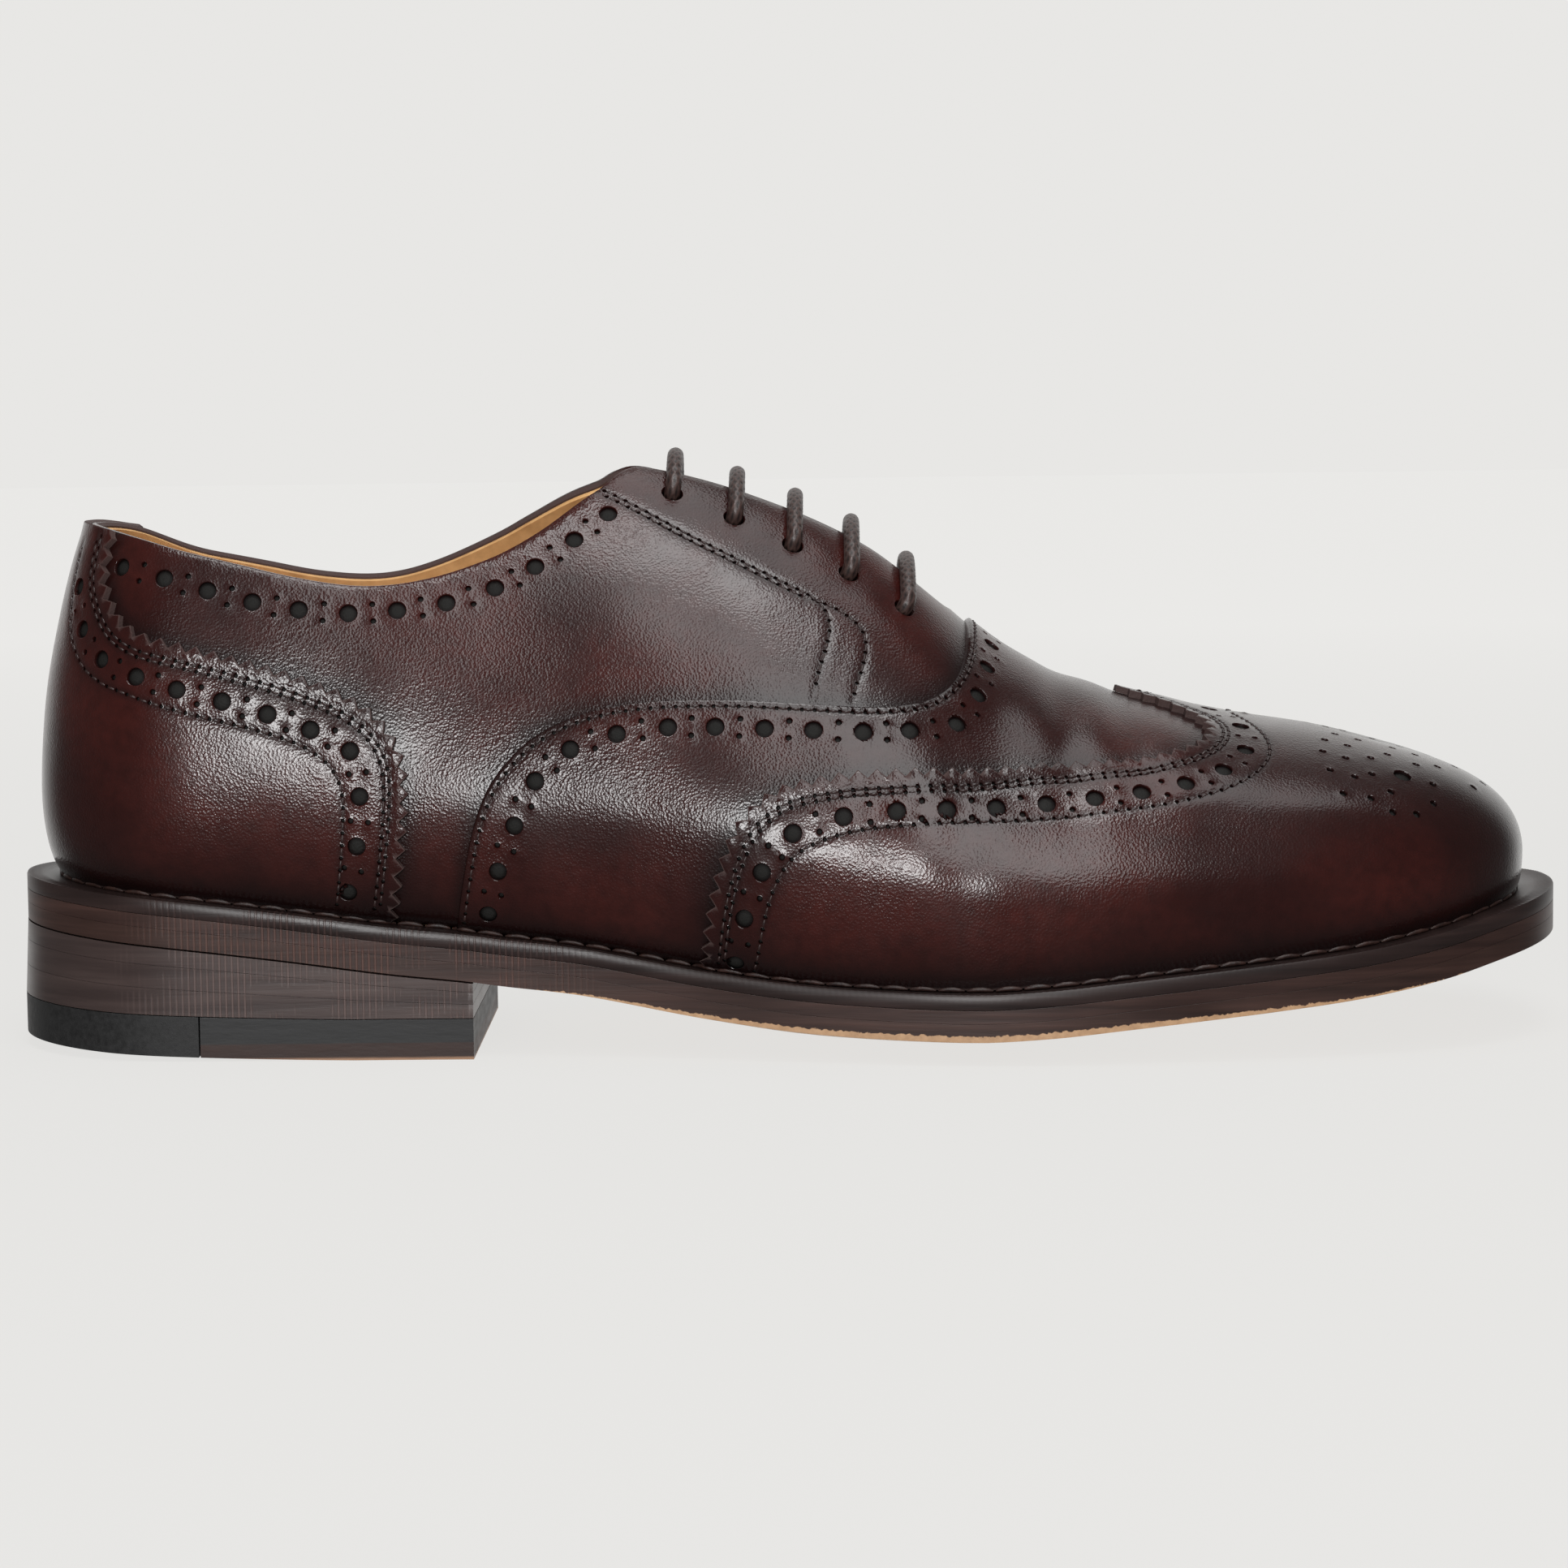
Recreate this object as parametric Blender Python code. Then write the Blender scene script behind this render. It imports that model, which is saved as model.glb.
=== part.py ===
"""Full brogue oxford, right foot, as separate solid pieces. Metres: +X toe, -Y outer side, floor at z = 0."""

import math

import bpy
import numpy as np
from mathutils.geometry import delaunay_2d_cdt

# Driving sizes
LENGTH = 0.305
BALL_WIDTH = 0.104
INSTEP_RISE = 0.0945
HEEL_HEIGHT = 0.0256
TOE_SPRING = 0.0145
TREAD_CROWN = 0.0049
HEEL_LENGTH = 0.091
CENTRE_SHARE = 0.5028
OFFSET_SHARE = 0.0083

# Thicknesses and clearances
OUTSOLE = 0.0031
MIDSOLE = 0.0021
WELT = 0.0031
GAP = 0.0003
WALL = 0.0020
OVERLAY = 0.0007
OVERLAY_GAP = 0.0005
TOP_PIECE = 0.0080
HEEL_FLARE = 0.0013
HEEL_WEAR = 0.0024
CONTACT_DEPTH = 0.0003
LACE_RADIUS = 0.0016
EYELET_RADIUS = 0.0021
INSOLE_RISE = 0.0026
STACK = OUTSOLE + MIDSOLE + WELT + 3 * GAP

# Bottom line of the sole. Columns: x as a share of LENGTH, centre height as shares of HEEL_HEIGHT
# and of TOE_SPRING, and how much of TREAD_CROWN the edge stands above the centre.
SOLE_LINE = (
    (0.00, 1.000, 0.000, 0.00),
    (0.06, 0.935, 0.000, 0.00),
    (0.12, 0.862, 0.000, 0.00),
    (0.18, 0.775, 0.000, 0.00),
    (0.25, 0.660, 0.000, 0.00),
    (0.31, 0.580, 0.000, 0.00),
    (0.37, 0.408, 0.000, 0.45),
    (0.45, 0.180, 0.000, 0.78),
    (0.52, 0.050, 0.000, 0.96),
    (0.58, 0.010, 0.000, 1.00),
    (0.62, 0.000, 0.005, 1.00),
    (0.66, 0.000, 0.050, 1.00),
    (0.71, 0.000, 0.150, 1.00),
    (0.76, 0.000, 0.250, 1.00),
    (0.81, 0.000, 0.352, 1.00),
    (0.86, 0.000, 0.472, 1.00),
    (0.91, 0.000, 0.648, 1.00),
    (0.95, 0.000, 0.834, 1.00),
    (1.00, 0.000, 1.030, 1.00),
)

# Sections of the last from the back of the heel to the toe. A section is an upright half-plane that
# starts on the ridge and points TURN degrees away from the toe, the same on both sides of the foot.
# Columns: axis x / LENGTH, turn, axis y / BALL_WIDTH, then outer and inner reach at the feather,
# outer and inner reach at the bulge (all / BALL_WIDTH), bulge rise and ridge rise above the feather
# (/ INSTEP_RISE), how far the top runs flat, how far the wall runs straight, and the welt's reach.
AXIS_X, TURN, AXIS_Y, FEATHER_OUT, FEATHER_IN, BULGE_OUT, BULGE_IN, BULGE_RISE, RIDGE_RISE, CROWN, STEEP, REACH = range(12)
SECTIONS = (
    (0.118, 180, 0.000, 0.258, 0.258, 0.291, 0.291, 0.175, 1.010, 0.60, 0.36, 0.079),
    (0.118, 151, 0.000, 0.261, 0.261, 0.294, 0.294, 0.175, 1.010, 0.60, 0.36, 0.071),
    (0.118, 123, 0.000, 0.267, 0.265, 0.299, 0.299, 0.178, 1.010, 0.60, 0.36, 0.058),
    (0.124, 100, 0.000, 0.272, 0.268, 0.307, 0.307, 0.184, 1.010, 0.60, 0.36, 0.050),
    (0.170, 90, 0.000, 0.277, 0.270, 0.314, 0.316, 0.192, 1.010, 0.60, 0.35, 0.047),
    (0.249, 90, 0.006, 0.286, 0.252, 0.330, 0.322, 0.210, 0.995, 0.57, 0.33, 0.046),
    (0.328, 90, 0.014, 0.305, 0.225, 0.356, 0.325, 0.240, 0.985, 0.53, 0.30, 0.044),
    (0.407, 90, 0.022, 0.340, 0.218, 0.394, 0.328, 0.260, 1.006, 0.50, 0.28, 0.044),
    (0.485, 90, 0.030, 0.394, 0.250, 0.438, 0.342, 0.245, 0.969, 0.50, 0.30, 0.048),
    (0.564, 90, 0.036, 0.448, 0.322, 0.476, 0.374, 0.205, 0.860, 0.50, 0.33, 0.053),
    (0.636, 90, 0.040, 0.478, 0.386, 0.497, 0.412, 0.172, 0.662, 0.52, 0.38, 0.058),
    (0.708, 90, 0.041, 0.474, 0.412, 0.492, 0.430, 0.152, 0.533, 0.56, 0.44, 0.062),
    (0.774, 88, 0.040, 0.448, 0.400, 0.465, 0.418, 0.140, 0.455, 0.60, 0.48, 0.066),
    (0.822, 79, 0.038, 0.414, 0.374, 0.430, 0.392, 0.126, 0.414, 0.62, 0.50, 0.072),
    (0.848, 60, 0.037, 0.380, 0.352, 0.395, 0.368, 0.110, 0.389, 0.62, 0.52, 0.080),
    (0.858, 39, 0.037, 0.352, 0.336, 0.366, 0.351, 0.094, 0.374, 0.60, 0.54, 0.088),
    (0.860, 19, 0.037, 0.330, 0.324, 0.343, 0.337, 0.082, 0.369, 0.58, 0.56, 0.094),
    (0.860, 0, 0.037, 0.322, 0.322, 0.334, 0.334, 0.078, 0.367, 0.58, 0.56, 0.096),
)
TOE_STATION = len(SECTIONS) - 1
ROUND = 2 * TOE_STATION
TOE_FAN = TOE_STATION - 5.5
TOE_RIDGE_SLOPE = -0.21
TUCK_HANDLES = (0.55, 0.55, 0.12)
SIDE_STEPS = 20
RISE_STEPS = 160
CURVE_STEPS = 120
FREE_RISE = 0.08

# Colour, roughness for each material, and the material of each piece.
MATERIALS = {
    "upper_leather": ((0.050, 0.017, 0.016), 0.32),
    "cap_leather": ((0.060, 0.020, 0.017), 0.28),
    "tongue_leather": ((0.040, 0.015, 0.014), 0.45),
    "welt_leather": ((0.030, 0.014, 0.011), 0.45),
    "sole_edge": ((0.028, 0.014, 0.011), 0.40),
    "outsole_leather": ((0.420, 0.250, 0.130), 0.60),
    "heel_rubber": ((0.018, 0.017, 0.017), 0.70),
    "insole_leather": ((0.450, 0.270, 0.140), 0.65),
    "lace_cord": ((0.045, 0.022, 0.018), 0.60),
}
PIECE_MATERIAL = {
    "upper": "upper_leather",
    "vamp": "upper_leather",
    "wing_cap": "cap_leather",
    "heel_counter": "cap_leather",
    "tongue": "tongue_leather",
    "lace_bar": "lace_cord",
    "welt": "welt_leather",
    "midsole": "sole_edge",
    "outsole": "outsole_leather",
    "insole": "insole_leather",
    "heel_lift": "sole_edge",
    "top_piece_leather": "sole_edge",
    "top_piece_rubber": "heel_rubber",
}


def cubic_bend(rows):
    """Second derivatives of a closed cubic spline through the rows, one station apart."""
    count = len(rows)
    weights = np.zeros((count, count))
    pull = np.zeros_like(rows)
    for i in range(count):
        before, after = (i - 1) % count, (i + 1) % count
        weights[i, before] += 1
        weights[i, i] += 4
        weights[i, after] += 1
        pull[i] = 6 * (rows[after] - 2 * rows[i] + rows[before])
    return np.linalg.solve(weights, pull)


def closed_rows():
    """The section table all the way round: outer side, toe, inner side, with turn less its mean run."""
    table = np.array(SECTIONS)
    rows = []
    for station in range(ROUND):
        outer = station <= TOE_STATION
        row = table[station if outer else ROUND - station].copy()
        if not outer:
            row[FEATHER_OUT], row[BULGE_OUT] = row[FEATHER_IN], row[BULGE_IN]
        turn = -row[TURN] if outer else row[TURN]
        row[TURN] = turn + 180.0 - 360.0 * station / ROUND
        rows.append(row)
    return np.array(rows)


ROWS = closed_rows()
BEND = cubic_bend(ROWS)


def section(station):
    """The smooth section values at each station, as a dictionary of arrays."""
    station = np.asarray(station, float)
    whole = np.floor(station).astype(int)
    part = (station - whole)[..., None]
    rest = 1 - part
    here, ahead = whole % ROUND, (whole + 1) % ROUND
    bend = ((rest**3 - rest) * BEND[here] + (part**3 - part) * BEND[ahead]) / 6
    row = rest * ROWS[here] + part * ROWS[ahead] + bend
    turn = np.radians(row[..., TURN] - 180.0 + 360.0 * station / ROUND)
    return {
        "x": (row[..., AXIS_X] - CENTRE_SHARE) * LENGTH,
        "y": (row[..., AXIS_Y] - OFFSET_SHARE) * BALL_WIDTH,
        "way": np.stack([np.cos(turn), np.sin(turn)], -1),
        "feather": row[..., FEATHER_OUT] * BALL_WIDTH,
        "bulge": row[..., BULGE_OUT] * BALL_WIDTH,
        "bulge_rise": row[..., BULGE_RISE] * INSTEP_RISE,
        "ridge_rise": row[..., RIDGE_RISE] * INSTEP_RISE,
        "crown": row[..., CROWN],
        "steep": row[..., STEEP],
        "reach": row[..., REACH] * BALL_WIDTH,
    }


def along(table, column, at):
    """A monotone smooth curve through one column of a table over its first column."""
    table = np.array(table, float)
    knots, values = table[:, 0], table[:, column]
    width = np.diff(knots)
    rate = np.diff(values) / width
    slope = np.zeros(len(knots))
    slope[0], slope[-1] = rate[0], rate[-1]
    for i in range(1, len(knots) - 1):
        if rate[i - 1] * rate[i] > 0:
            first = 2 * width[i] + width[i - 1]
            second = width[i] + 2 * width[i - 1]
            slope[i] = (first + second) / (first / rate[i - 1] + second / rate[i])
    at = np.clip(np.asarray(at, float), knots[0], knots[-1])
    i = np.clip(np.searchsorted(knots, at) - 1, 0, len(knots) - 2)
    f = (at - knots[i]) / width[i]
    start = values[i] * (1 + 2 * f) * (1 - f) ** 2 + width[i] * slope[i] * f * (1 - f) ** 2
    end = values[i + 1] * f * f * (3 - 2 * f) - width[i] * slope[i + 1] * f * f * (1 - f)
    return start + end


def sole_centre(x):
    """Height of the middle of the tread above the floor."""
    share = np.asarray(x) / LENGTH + CENTRE_SHARE
    return HEEL_HEIGHT * along(SOLE_LINE, 1, share) + TOE_SPRING * along(SOLE_LINE, 2, share)


def edge_height(x):
    """Height of the outsole's lower edge above the floor."""
    share = np.asarray(x) / LENGTH + CENTRE_SHARE
    return sole_centre(x) + TREAD_CROWN * along(SOLE_LINE, 3, share)


def seat_height(x):
    """Height at which the upper starts, just clear of the welt."""
    return edge_height(x) + STACK


def bezier(corners, share):
    """A cubic curve for each section: corners are four (count, 2) arrays."""
    a, b, c, d = (corner[:, None, :] for corner in corners)
    rest = 1 - share
    return rest**3 * a + 3 * rest**2 * share * b + 3 * rest * share**2 * c + share**3 * d


def surface_grid():
    """Points of the last's outer surface by station and rise, its unit normals, and each section's length."""
    station = np.linspace(0, ROUND, ROUND * SIDE_STEPS + 1)
    rise = np.linspace(0, 1, RISE_STEPS + 1)
    q = section(station)
    foot_x = q["x"] + q["feather"] * q["way"][:, 0]
    low = seat_height(foot_x)
    middle = low + q["bulge_rise"]
    top = seat_height(q["x"]) + q["ridge_rise"]
    in_fan = np.abs(station - TOE_STATION) < TOE_STATION - TOE_FAN
    tilt = np.where(in_fan, TOE_RIDGE_SLOPE * q["way"][:, 0], 0.0)
    flat = q["crown"] * q["bulge"]
    ridge = np.stack([0 * top, top], -1)
    shoulder = np.stack([flat, top + tilt * flat], -1)
    wall = np.stack([q["bulge"], middle + q["steep"] * (top - middle)], -1)
    widest = np.stack([q["bulge"], middle], -1)
    drop, pull, lift = TUCK_HANDLES
    under = np.stack([q["bulge"], middle - drop * (middle - low)], -1)
    tuck_reach = q["feather"] + pull * (q["bulge"] - q["feather"])
    tuck = np.stack([tuck_reach, low + lift * (middle - low)], -1)
    foot = np.stack([q["feather"], low], -1)
    share = np.linspace(0, 1, CURVE_STEPS)[None, :, None]
    upper_part = bezier((ridge, shoulder, wall, widest), share)
    lower_part = bezier((widest, under, tuck, foot), share)
    line = np.concatenate([upper_part, lower_part[:, 1:]], 1)[:, ::-1]
    pace = np.linalg.norm(np.diff(line, axis=1), axis=2)
    walked = np.concatenate([np.zeros((len(station), 1)), np.cumsum(pace, 1)], 1)
    points = np.empty((len(station), len(rise), 3))
    for i, walk in enumerate(walked):
        at = rise * walk[-1]
        reach = np.interp(at, walk, line[i, :, 0])
        points[i, :, 0] = q["x"][i] + reach * q["way"][i, 0]
        points[i, :, 1] = q["y"][i] + reach * q["way"][i, 1]
        points[i, :, 2] = np.interp(at, walk, line[i, :, 1])
    around = np.empty_like(points)
    around[1:-1] = points[2:] - points[:-2]
    around[0] = around[-1] = points[1] - points[-2]
    up = np.gradient(points, axis=1)
    normals = np.cross(around, up)
    normals[:, -1] = normals[:, -2]
    normals /= np.linalg.norm(normals, axis=2, keepdims=True)
    normals[:, -1] += normals[::-1, -1]
    # Along the welt at the feather, so that every layer ends on it.
    probe = 0.001
    slope = (seat_height(foot_x + probe) - seat_height(foot_x - probe)) / (2 * probe)
    free = np.clip(rise / FREE_RISE, 0, 1)
    free = free * free * (3 - 2 * free)
    along_welt = slope[:, None] * normals[:, :, 0]
    normals[:, :, 2] = free * normals[:, :, 2] + (1 - free) * along_welt
    normals /= np.linalg.norm(normals, axis=2, keepdims=True)
    return points, normals, walked[:, -1]


POINTS, NORMALS, RUNS = surface_grid()
FINE = section(np.linspace(0, ROUND, ROUND * SIDE_STEPS + 1))


def at_station(values, station):
    """Linear reading of a value known at every fine station."""
    place = np.clip(np.asarray(station, float) * SIDE_STEPS, 0, len(values) - 1)
    i = np.minimum(place.astype(int), len(values) - 2)
    f = place - i
    if values.ndim > 1:
        f = f[:, None]
    return values[i] * (1 - f) + values[i + 1] * f


def flatten(mark):
    """Pattern coordinates of (station, rise) marks: the ridge laid out flat with every section beside it."""
    mark = np.atleast_2d(np.asarray(mark, float))
    station = mark[:, 0]
    reach = (1 - mark[:, 1]) * at_station(RUNS, station)
    way = at_station(FINE["way"], station)
    x = at_station(FINE["x"], station) + reach * way[:, 0]
    y = at_station(FINE["y"], station) + reach * way[:, 1]
    return np.stack([x, y], -1)


def unflatten(flat):
    """(station, rise) of pattern coordinates, found as the section whose ray meets each point."""
    flat = np.atleast_2d(np.asarray(flat, float))
    found = np.empty_like(flat)
    for start in range(0, len(flat), 2000):
        part = flat[start : start + 2000]
        dx = part[:, :1] - FINE["x"]
        dy = part[:, 1:] - FINE["y"]
        aside = dx * FINE["way"][:, 1] - dy * FINE["way"][:, 0]
        ahead = dx * FINE["way"][:, 0] + dy * FINE["way"][:, 1]
        meets = (aside[:, :-1] * aside[:, 1:] <= 0) & (ahead[:, :-1] + ahead[:, 1:] > -1e-6)
        i = np.argmax(meets, axis=1)
        lost = ~meets.any(axis=1)
        i[lost] = np.argmin(np.abs(aside[lost][:, :-1]) + 9.0 * (ahead[lost][:, :-1] < 0), axis=1)
        row = np.arange(len(part))
        first, second = aside[row, i], aside[row, i + 1]
        span = np.where(np.abs(first - second) < 1e-12, 1.0, first - second)
        f = np.clip(first / span, 0, 1)
        reach = ahead[row, i] * (1 - f) + ahead[row, i + 1] * f
        station = (i + f) / SIDE_STEPS
        found[start : start + 2000, 0] = station
        found[start : start + 2000, 1] = 1 - reach / at_station(RUNS, station)
    return found


def on_surface(mark, lift=0.0):
    """Points at (station, rise) marks, moved out by lift, and the unit normals there."""
    mark = np.atleast_2d(mark)
    s = np.clip(mark[:, 0] * SIDE_STEPS, 0, POINTS.shape[0] - 1)
    r = np.clip(mark[:, 1] * RISE_STEPS, 0, POINTS.shape[1] - 1)
    i = np.minimum(s.astype(int), POINTS.shape[0] - 2)
    j = np.minimum(r.astype(int), POINTS.shape[1] - 2)
    f, g = (s - i)[:, None], (r - j)[:, None]

    def read(grid):
        low = grid[i, j] * (1 - f) + grid[i + 1, j] * f
        high = grid[i, j + 1] * (1 - f) + grid[i + 1, j + 1] * f
        return low * (1 - g) + high * g

    normal = read(NORMALS)
    normal /= np.linalg.norm(normal, axis=1, keepdims=True)
    return read(POINTS) + lift * normal, normal


# Pattern lines on the outer side. Columns: station, rise from the feather (0) to the ridge (1).
# The inner side mirrors them, apart from the collar, which stands higher under the inner ankle.
COLLAR_LINE = (
    (0.00, 0.685),
    (0.90, 0.683),
    (1.80, 0.672),
    (2.60, 0.657),
    (3.20, 0.640),
    (3.80, 0.624),
    (4.30, 0.613),
    (4.80, 0.617),
    (5.30, 0.647),
    (5.80, 0.700),
    (6.20, 0.760),
    (6.50, 0.820),
    (6.72, 0.868),
    (6.84, 0.905),
    (6.98, 0.934),
    (7.25, 0.943),
    (8.00, 0.944),
    (8.80, 0.940),
    (9.35, 0.936),
    (9.55, 0.952),
    (9.62, 1.000),
)
VAMP_LINE = (
    (5.53, 0.000),
    (5.60, 0.100),
    (5.70, 0.205),
    (5.82, 0.275),
    (5.98, 0.327),
    (6.20, 0.374),
    (6.60, 0.420),
    (7.10, 0.452),
    (7.76, 0.478),
    (8.37, 0.496),
    (8.80, 0.512),
    (9.15, 0.541),
    (9.40, 0.585),
    (9.60, 0.660),
    (9.71, 0.761),
    (9.75, 0.880),
    (9.76, 1.000),
)
WING_LINE = (
    (7.56, 0.000),
    (7.60, 0.090),
    (7.70, 0.190),
    (7.86, 0.268),
    (8.14, 0.326),
    (8.60, 0.364),
    (9.12, 0.394),
    (9.60, 0.426),
    (10.24, 0.476),
    (10.90, 0.512),
    (11.35, 0.547),
    (11.68, 0.600),
    (11.88, 0.670),
    (11.93, 0.745),
    (11.84, 0.815),
    (11.62, 0.876),
    (11.36, 0.930),
    (11.10, 1.000),
)
COUNTER_LINE = (
    (1.80, 0.669),
    (1.80, 0.620),
    (1.84, 0.578),
    (2.00, 0.543),
    (2.30, 0.500),
    (2.70, 0.472),
    (3.20, 0.457),
    (3.84, 0.439),
    (4.40, 0.418),
    (4.75, 0.396),
    (4.98, 0.360),
    (5.11, 0.305),
    (5.13, 0.230),
    (5.09, 0.130),
    (5.01, 0.000),
)
EYELETS = ((7.29, 0.875), (7.80, 0.850), (8.27, 0.826), (8.72, 0.806), (9.18, 0.788))
INNER_COLLAR_RISE = (
    (1.6, 0.0),
    (2.9, -0.0018),
    (4.2, -0.0009),
    (4.8, 0.0009),
    (5.4, 0.0038),
    (6.1, 0.0060),
    (6.4, 0.0063),
    (7.05, 0.0),
)
INNER_COLLAR_BLEND = 0.3
VAMP_UNDERLAP = 0.012
TONGUE_TOP, TONGUE_FOOT = 6.98, 10.10
TONGUE_HALF_WIDTH = 0.024
TONGUE_CORNER = 0.012
TONGUE_TAPER = 0.14
TONGUE_ARCH = 0.0015
TONGUE_THICKNESS = 0.0016
TONGUE_GAP = 0.0009
LACE_BEND = 0.0020
LACE_CLEAR = 0.0001
LACE_DIP = 0.0007
REAR_MESH, TOE_MESH = 0.0130, 0.0085
TOE_MESH_FROM = 10.8
OUTLINE_STEP = 0.0055
MESH_SHIFT = 0.3
MESH_RISE_SHARE = (0.055, 0.982)
SEAM_MARGIN = 0.0045
EDGE_MARGIN = 0.0033
LINE_STEPS = 12
WAIST_RISE = 0.4
OUTLINE_PER_STATION = 3
RIB_SHARES = (0.24, 0.50, 0.76)
RIB_MARGIN = 0.003
RIB_APART = 0.005
RUBBER_SHARE = 0.423
LIFT_SHARES = (0.0, 0.40, 0.745, 1.0)
HEEL_FLAT = 0.022
BREAST_CLEAR = 0.001
HEEL_CENTRE = 0.02
ACROSS_STEPS = 8
WEAR_CURVE = 1.3
FEATHER_INSET = 0.0026
INSOLE_INSET = 0.0031


def rounded(line):
    """A Catmull-Rom curve through a pattern line, as many marks."""
    line = np.array(line, float)
    flat = flatten(line)
    knots = np.concatenate([[0], np.cumsum(np.sqrt(np.linalg.norm(np.diff(flat, axis=0), axis=1)))])
    slope = np.gradient(line, knots, axis=0)
    marks = []
    for i in range(len(line) - 1):
        span = knots[i + 1] - knots[i]
        for f in np.arange(LINE_STEPS) / LINE_STEPS:
            start = (1 + 2 * f) * (1 - f) ** 2 * line[i] + f * (1 - f) ** 2 * span * slope[i]
            end = f * f * (3 - 2 * f) * line[i + 1] - f * f * (1 - f) * span * slope[i + 1]
            marks.append(start + end)
    marks.append(line[-1])
    return np.array(marks)


def evenly(marks, step):
    """Marks spaced about one step apart over the surface, both ends kept."""
    points = on_surface(marks)[0]
    walked = np.concatenate([[0], np.cumsum(np.linalg.norm(np.diff(points, axis=0), axis=1))])
    at = np.linspace(0, walked[-1], max(2, int(round(walked[-1] / step))) + 1)
    return np.stack([np.interp(at, walked, marks[:, 0]), np.interp(at, walked, marks[:, 1])], -1)


def mirrored(marks):
    """The same marks on the inner side, in reverse order."""
    return np.stack([ROUND - marks[::-1, 0], marks[::-1, 1]], -1)


def raised_collar(marks):
    """Marks along the outer side's collar, moved into the opening by as much as the inner side's collar is."""
    stations, rises = np.array(INNER_COLLAR_RISE).T
    blend = np.linspace(-INNER_COLLAR_BLEND, INNER_COLLAR_BLEND, 9)
    lift = np.mean([np.interp(marks[:, 0] + step, stations, rises) for step in blend], axis=0)
    flat = flatten(marks)
    ahead = np.gradient(flat, axis=0)
    ahead /= np.linalg.norm(ahead, axis=1, keepdims=True)
    return unflatten(flat + lift[:, None] * np.stack([-ahead[:, 1], ahead[:, 0]], -1))


def feather(first, last, step=OUTLINE_STEP):
    """Marks along the feather between two stations."""
    stations = np.linspace(first, last, 400)
    return evenly(np.stack([stations, 0 * stations], -1), step)


def unroll(mark):
    """Side pattern coordinates: distance round the foot from the back of the heel, and height up the section."""
    mark = np.atleast_2d(mark)
    station = np.where(mark[:, 0] > TOE_STATION, mark[:, 0] - ROUND, mark[:, 0])
    waist = POINTS[:, int(WAIST_RISE * RISE_STEPS)]
    walked = np.concatenate([[0], np.cumsum(np.linalg.norm(np.diff(waist, axis=0), axis=1))])
    side = np.sign(station) * at_station(walked, np.abs(station))
    return np.stack([side, mark[:, 1] * at_station(RUNS, np.abs(station))], -1)


def vamp_border(step):
    """Marks round the vamp: its rear edge, the feather, and a front edge that ends under the wing cap."""
    rear = evenly(rounded(VAMP_LINE), step)
    front = unflatten(flatten(rounded(WING_LINE)) + [VAMP_UNDERLAP, 0.0])
    front = front[(front[:, 1] > 0) & (front[:, 0] < TOE_STATION)]
    front = np.concatenate([[[front[0, 0], 0.0]], front, [[front[-1, 0], 1.0]]])
    front = evenly(front, step)
    base = feather(rear[0, 0], front[0, 0], step)
    side = np.concatenate([base[:-1], front])
    return np.concatenate([side, mirrored(side)[1:-1], mirrored(rear)[::-1], rear[::-1][1:-1]])


def tongue_border(step):
    """Marks round the tongue: a slightly arched top with round corners, and sides that taper to the foot."""
    back, front = flatten([(TONGUE_TOP, 1.0), (TONGUE_FOOT, 1.0)])
    length = front[0] - back[0]
    turn = np.linspace(0, math.pi / 2, max(4, int(TONGUE_CORNER * math.pi / 2 / step)))
    corner_run = TONGUE_CORNER * (1 - np.cos(turn))
    corner_width = TONGUE_HALF_WIDTH - TONGUE_CORNER * (1 - np.sin(turn))
    share = np.linspace(0, 1, int(length / step))[1:]
    side_run = TONGUE_CORNER + share * (length - TONGUE_CORNER)
    side_width = TONGUE_HALF_WIDTH * (1 - TONGUE_TAPER * share**2)
    run = np.concatenate([corner_run, side_run])
    width = np.concatenate([corner_width, side_width])
    centre = back[1] + (front[1] - back[1]) * run / length
    outer = np.stack([back[0] + run, centre - width], -1)
    inner = np.stack([back[0] + run, centre + width], -1)[::-1]
    across = np.linspace(-1, 1, int(2 * width[-1] / step))[1:-1]
    foot = np.stack([front[0] + TONGUE_ARCH * (1 - across**2), front[1] + across * width[-1]], -1)
    across = np.linspace(1, -1, int(2 * width[0] / step))[1:-1]
    top = np.stack([back[0] - TONGUE_ARCH * (1 - across**2), back[1] + across * width[0]], -1)
    return unflatten(np.concatenate([outer, foot, inner, top]))


def circle(mark, radius, count=12):
    """Marks of a round hole about a mark."""
    centre = flatten([mark])[0]
    turn = np.arange(count) * 2 * math.pi / count
    ring = centre + radius * np.stack([np.cos(turn), np.sin(turn)], -1)
    return unflatten(ring)


def spread(stations, rises, step):
    """Marks about one step apart over the surface between the given stations and rises."""
    height = POINTS.shape[1] - 1
    rows = int((rises[1] - rises[0]) * RUNS.mean() / step)
    marks = []
    for row, rise in enumerate(np.linspace(*rises, rows + 1)):
        level = POINTS[:, int(rise * height)]
        walked = np.concatenate([[0], np.cumsum(np.linalg.norm(np.diff(level, axis=0), axis=1))])
        first, last = (at_station(walked, [s])[0] for s in stations)
        count = int((last - first) / step)
        if count < 1:
            continue
        at = first + (np.arange(count) + 0.5 * (row % 2)) * (last - first) / count
        station = np.interp(at, walked, np.linspace(0, ROUND, len(walked)))
        marks.append(np.stack([station, 0 * station + rise], -1))
    return np.concatenate(marks)


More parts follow.
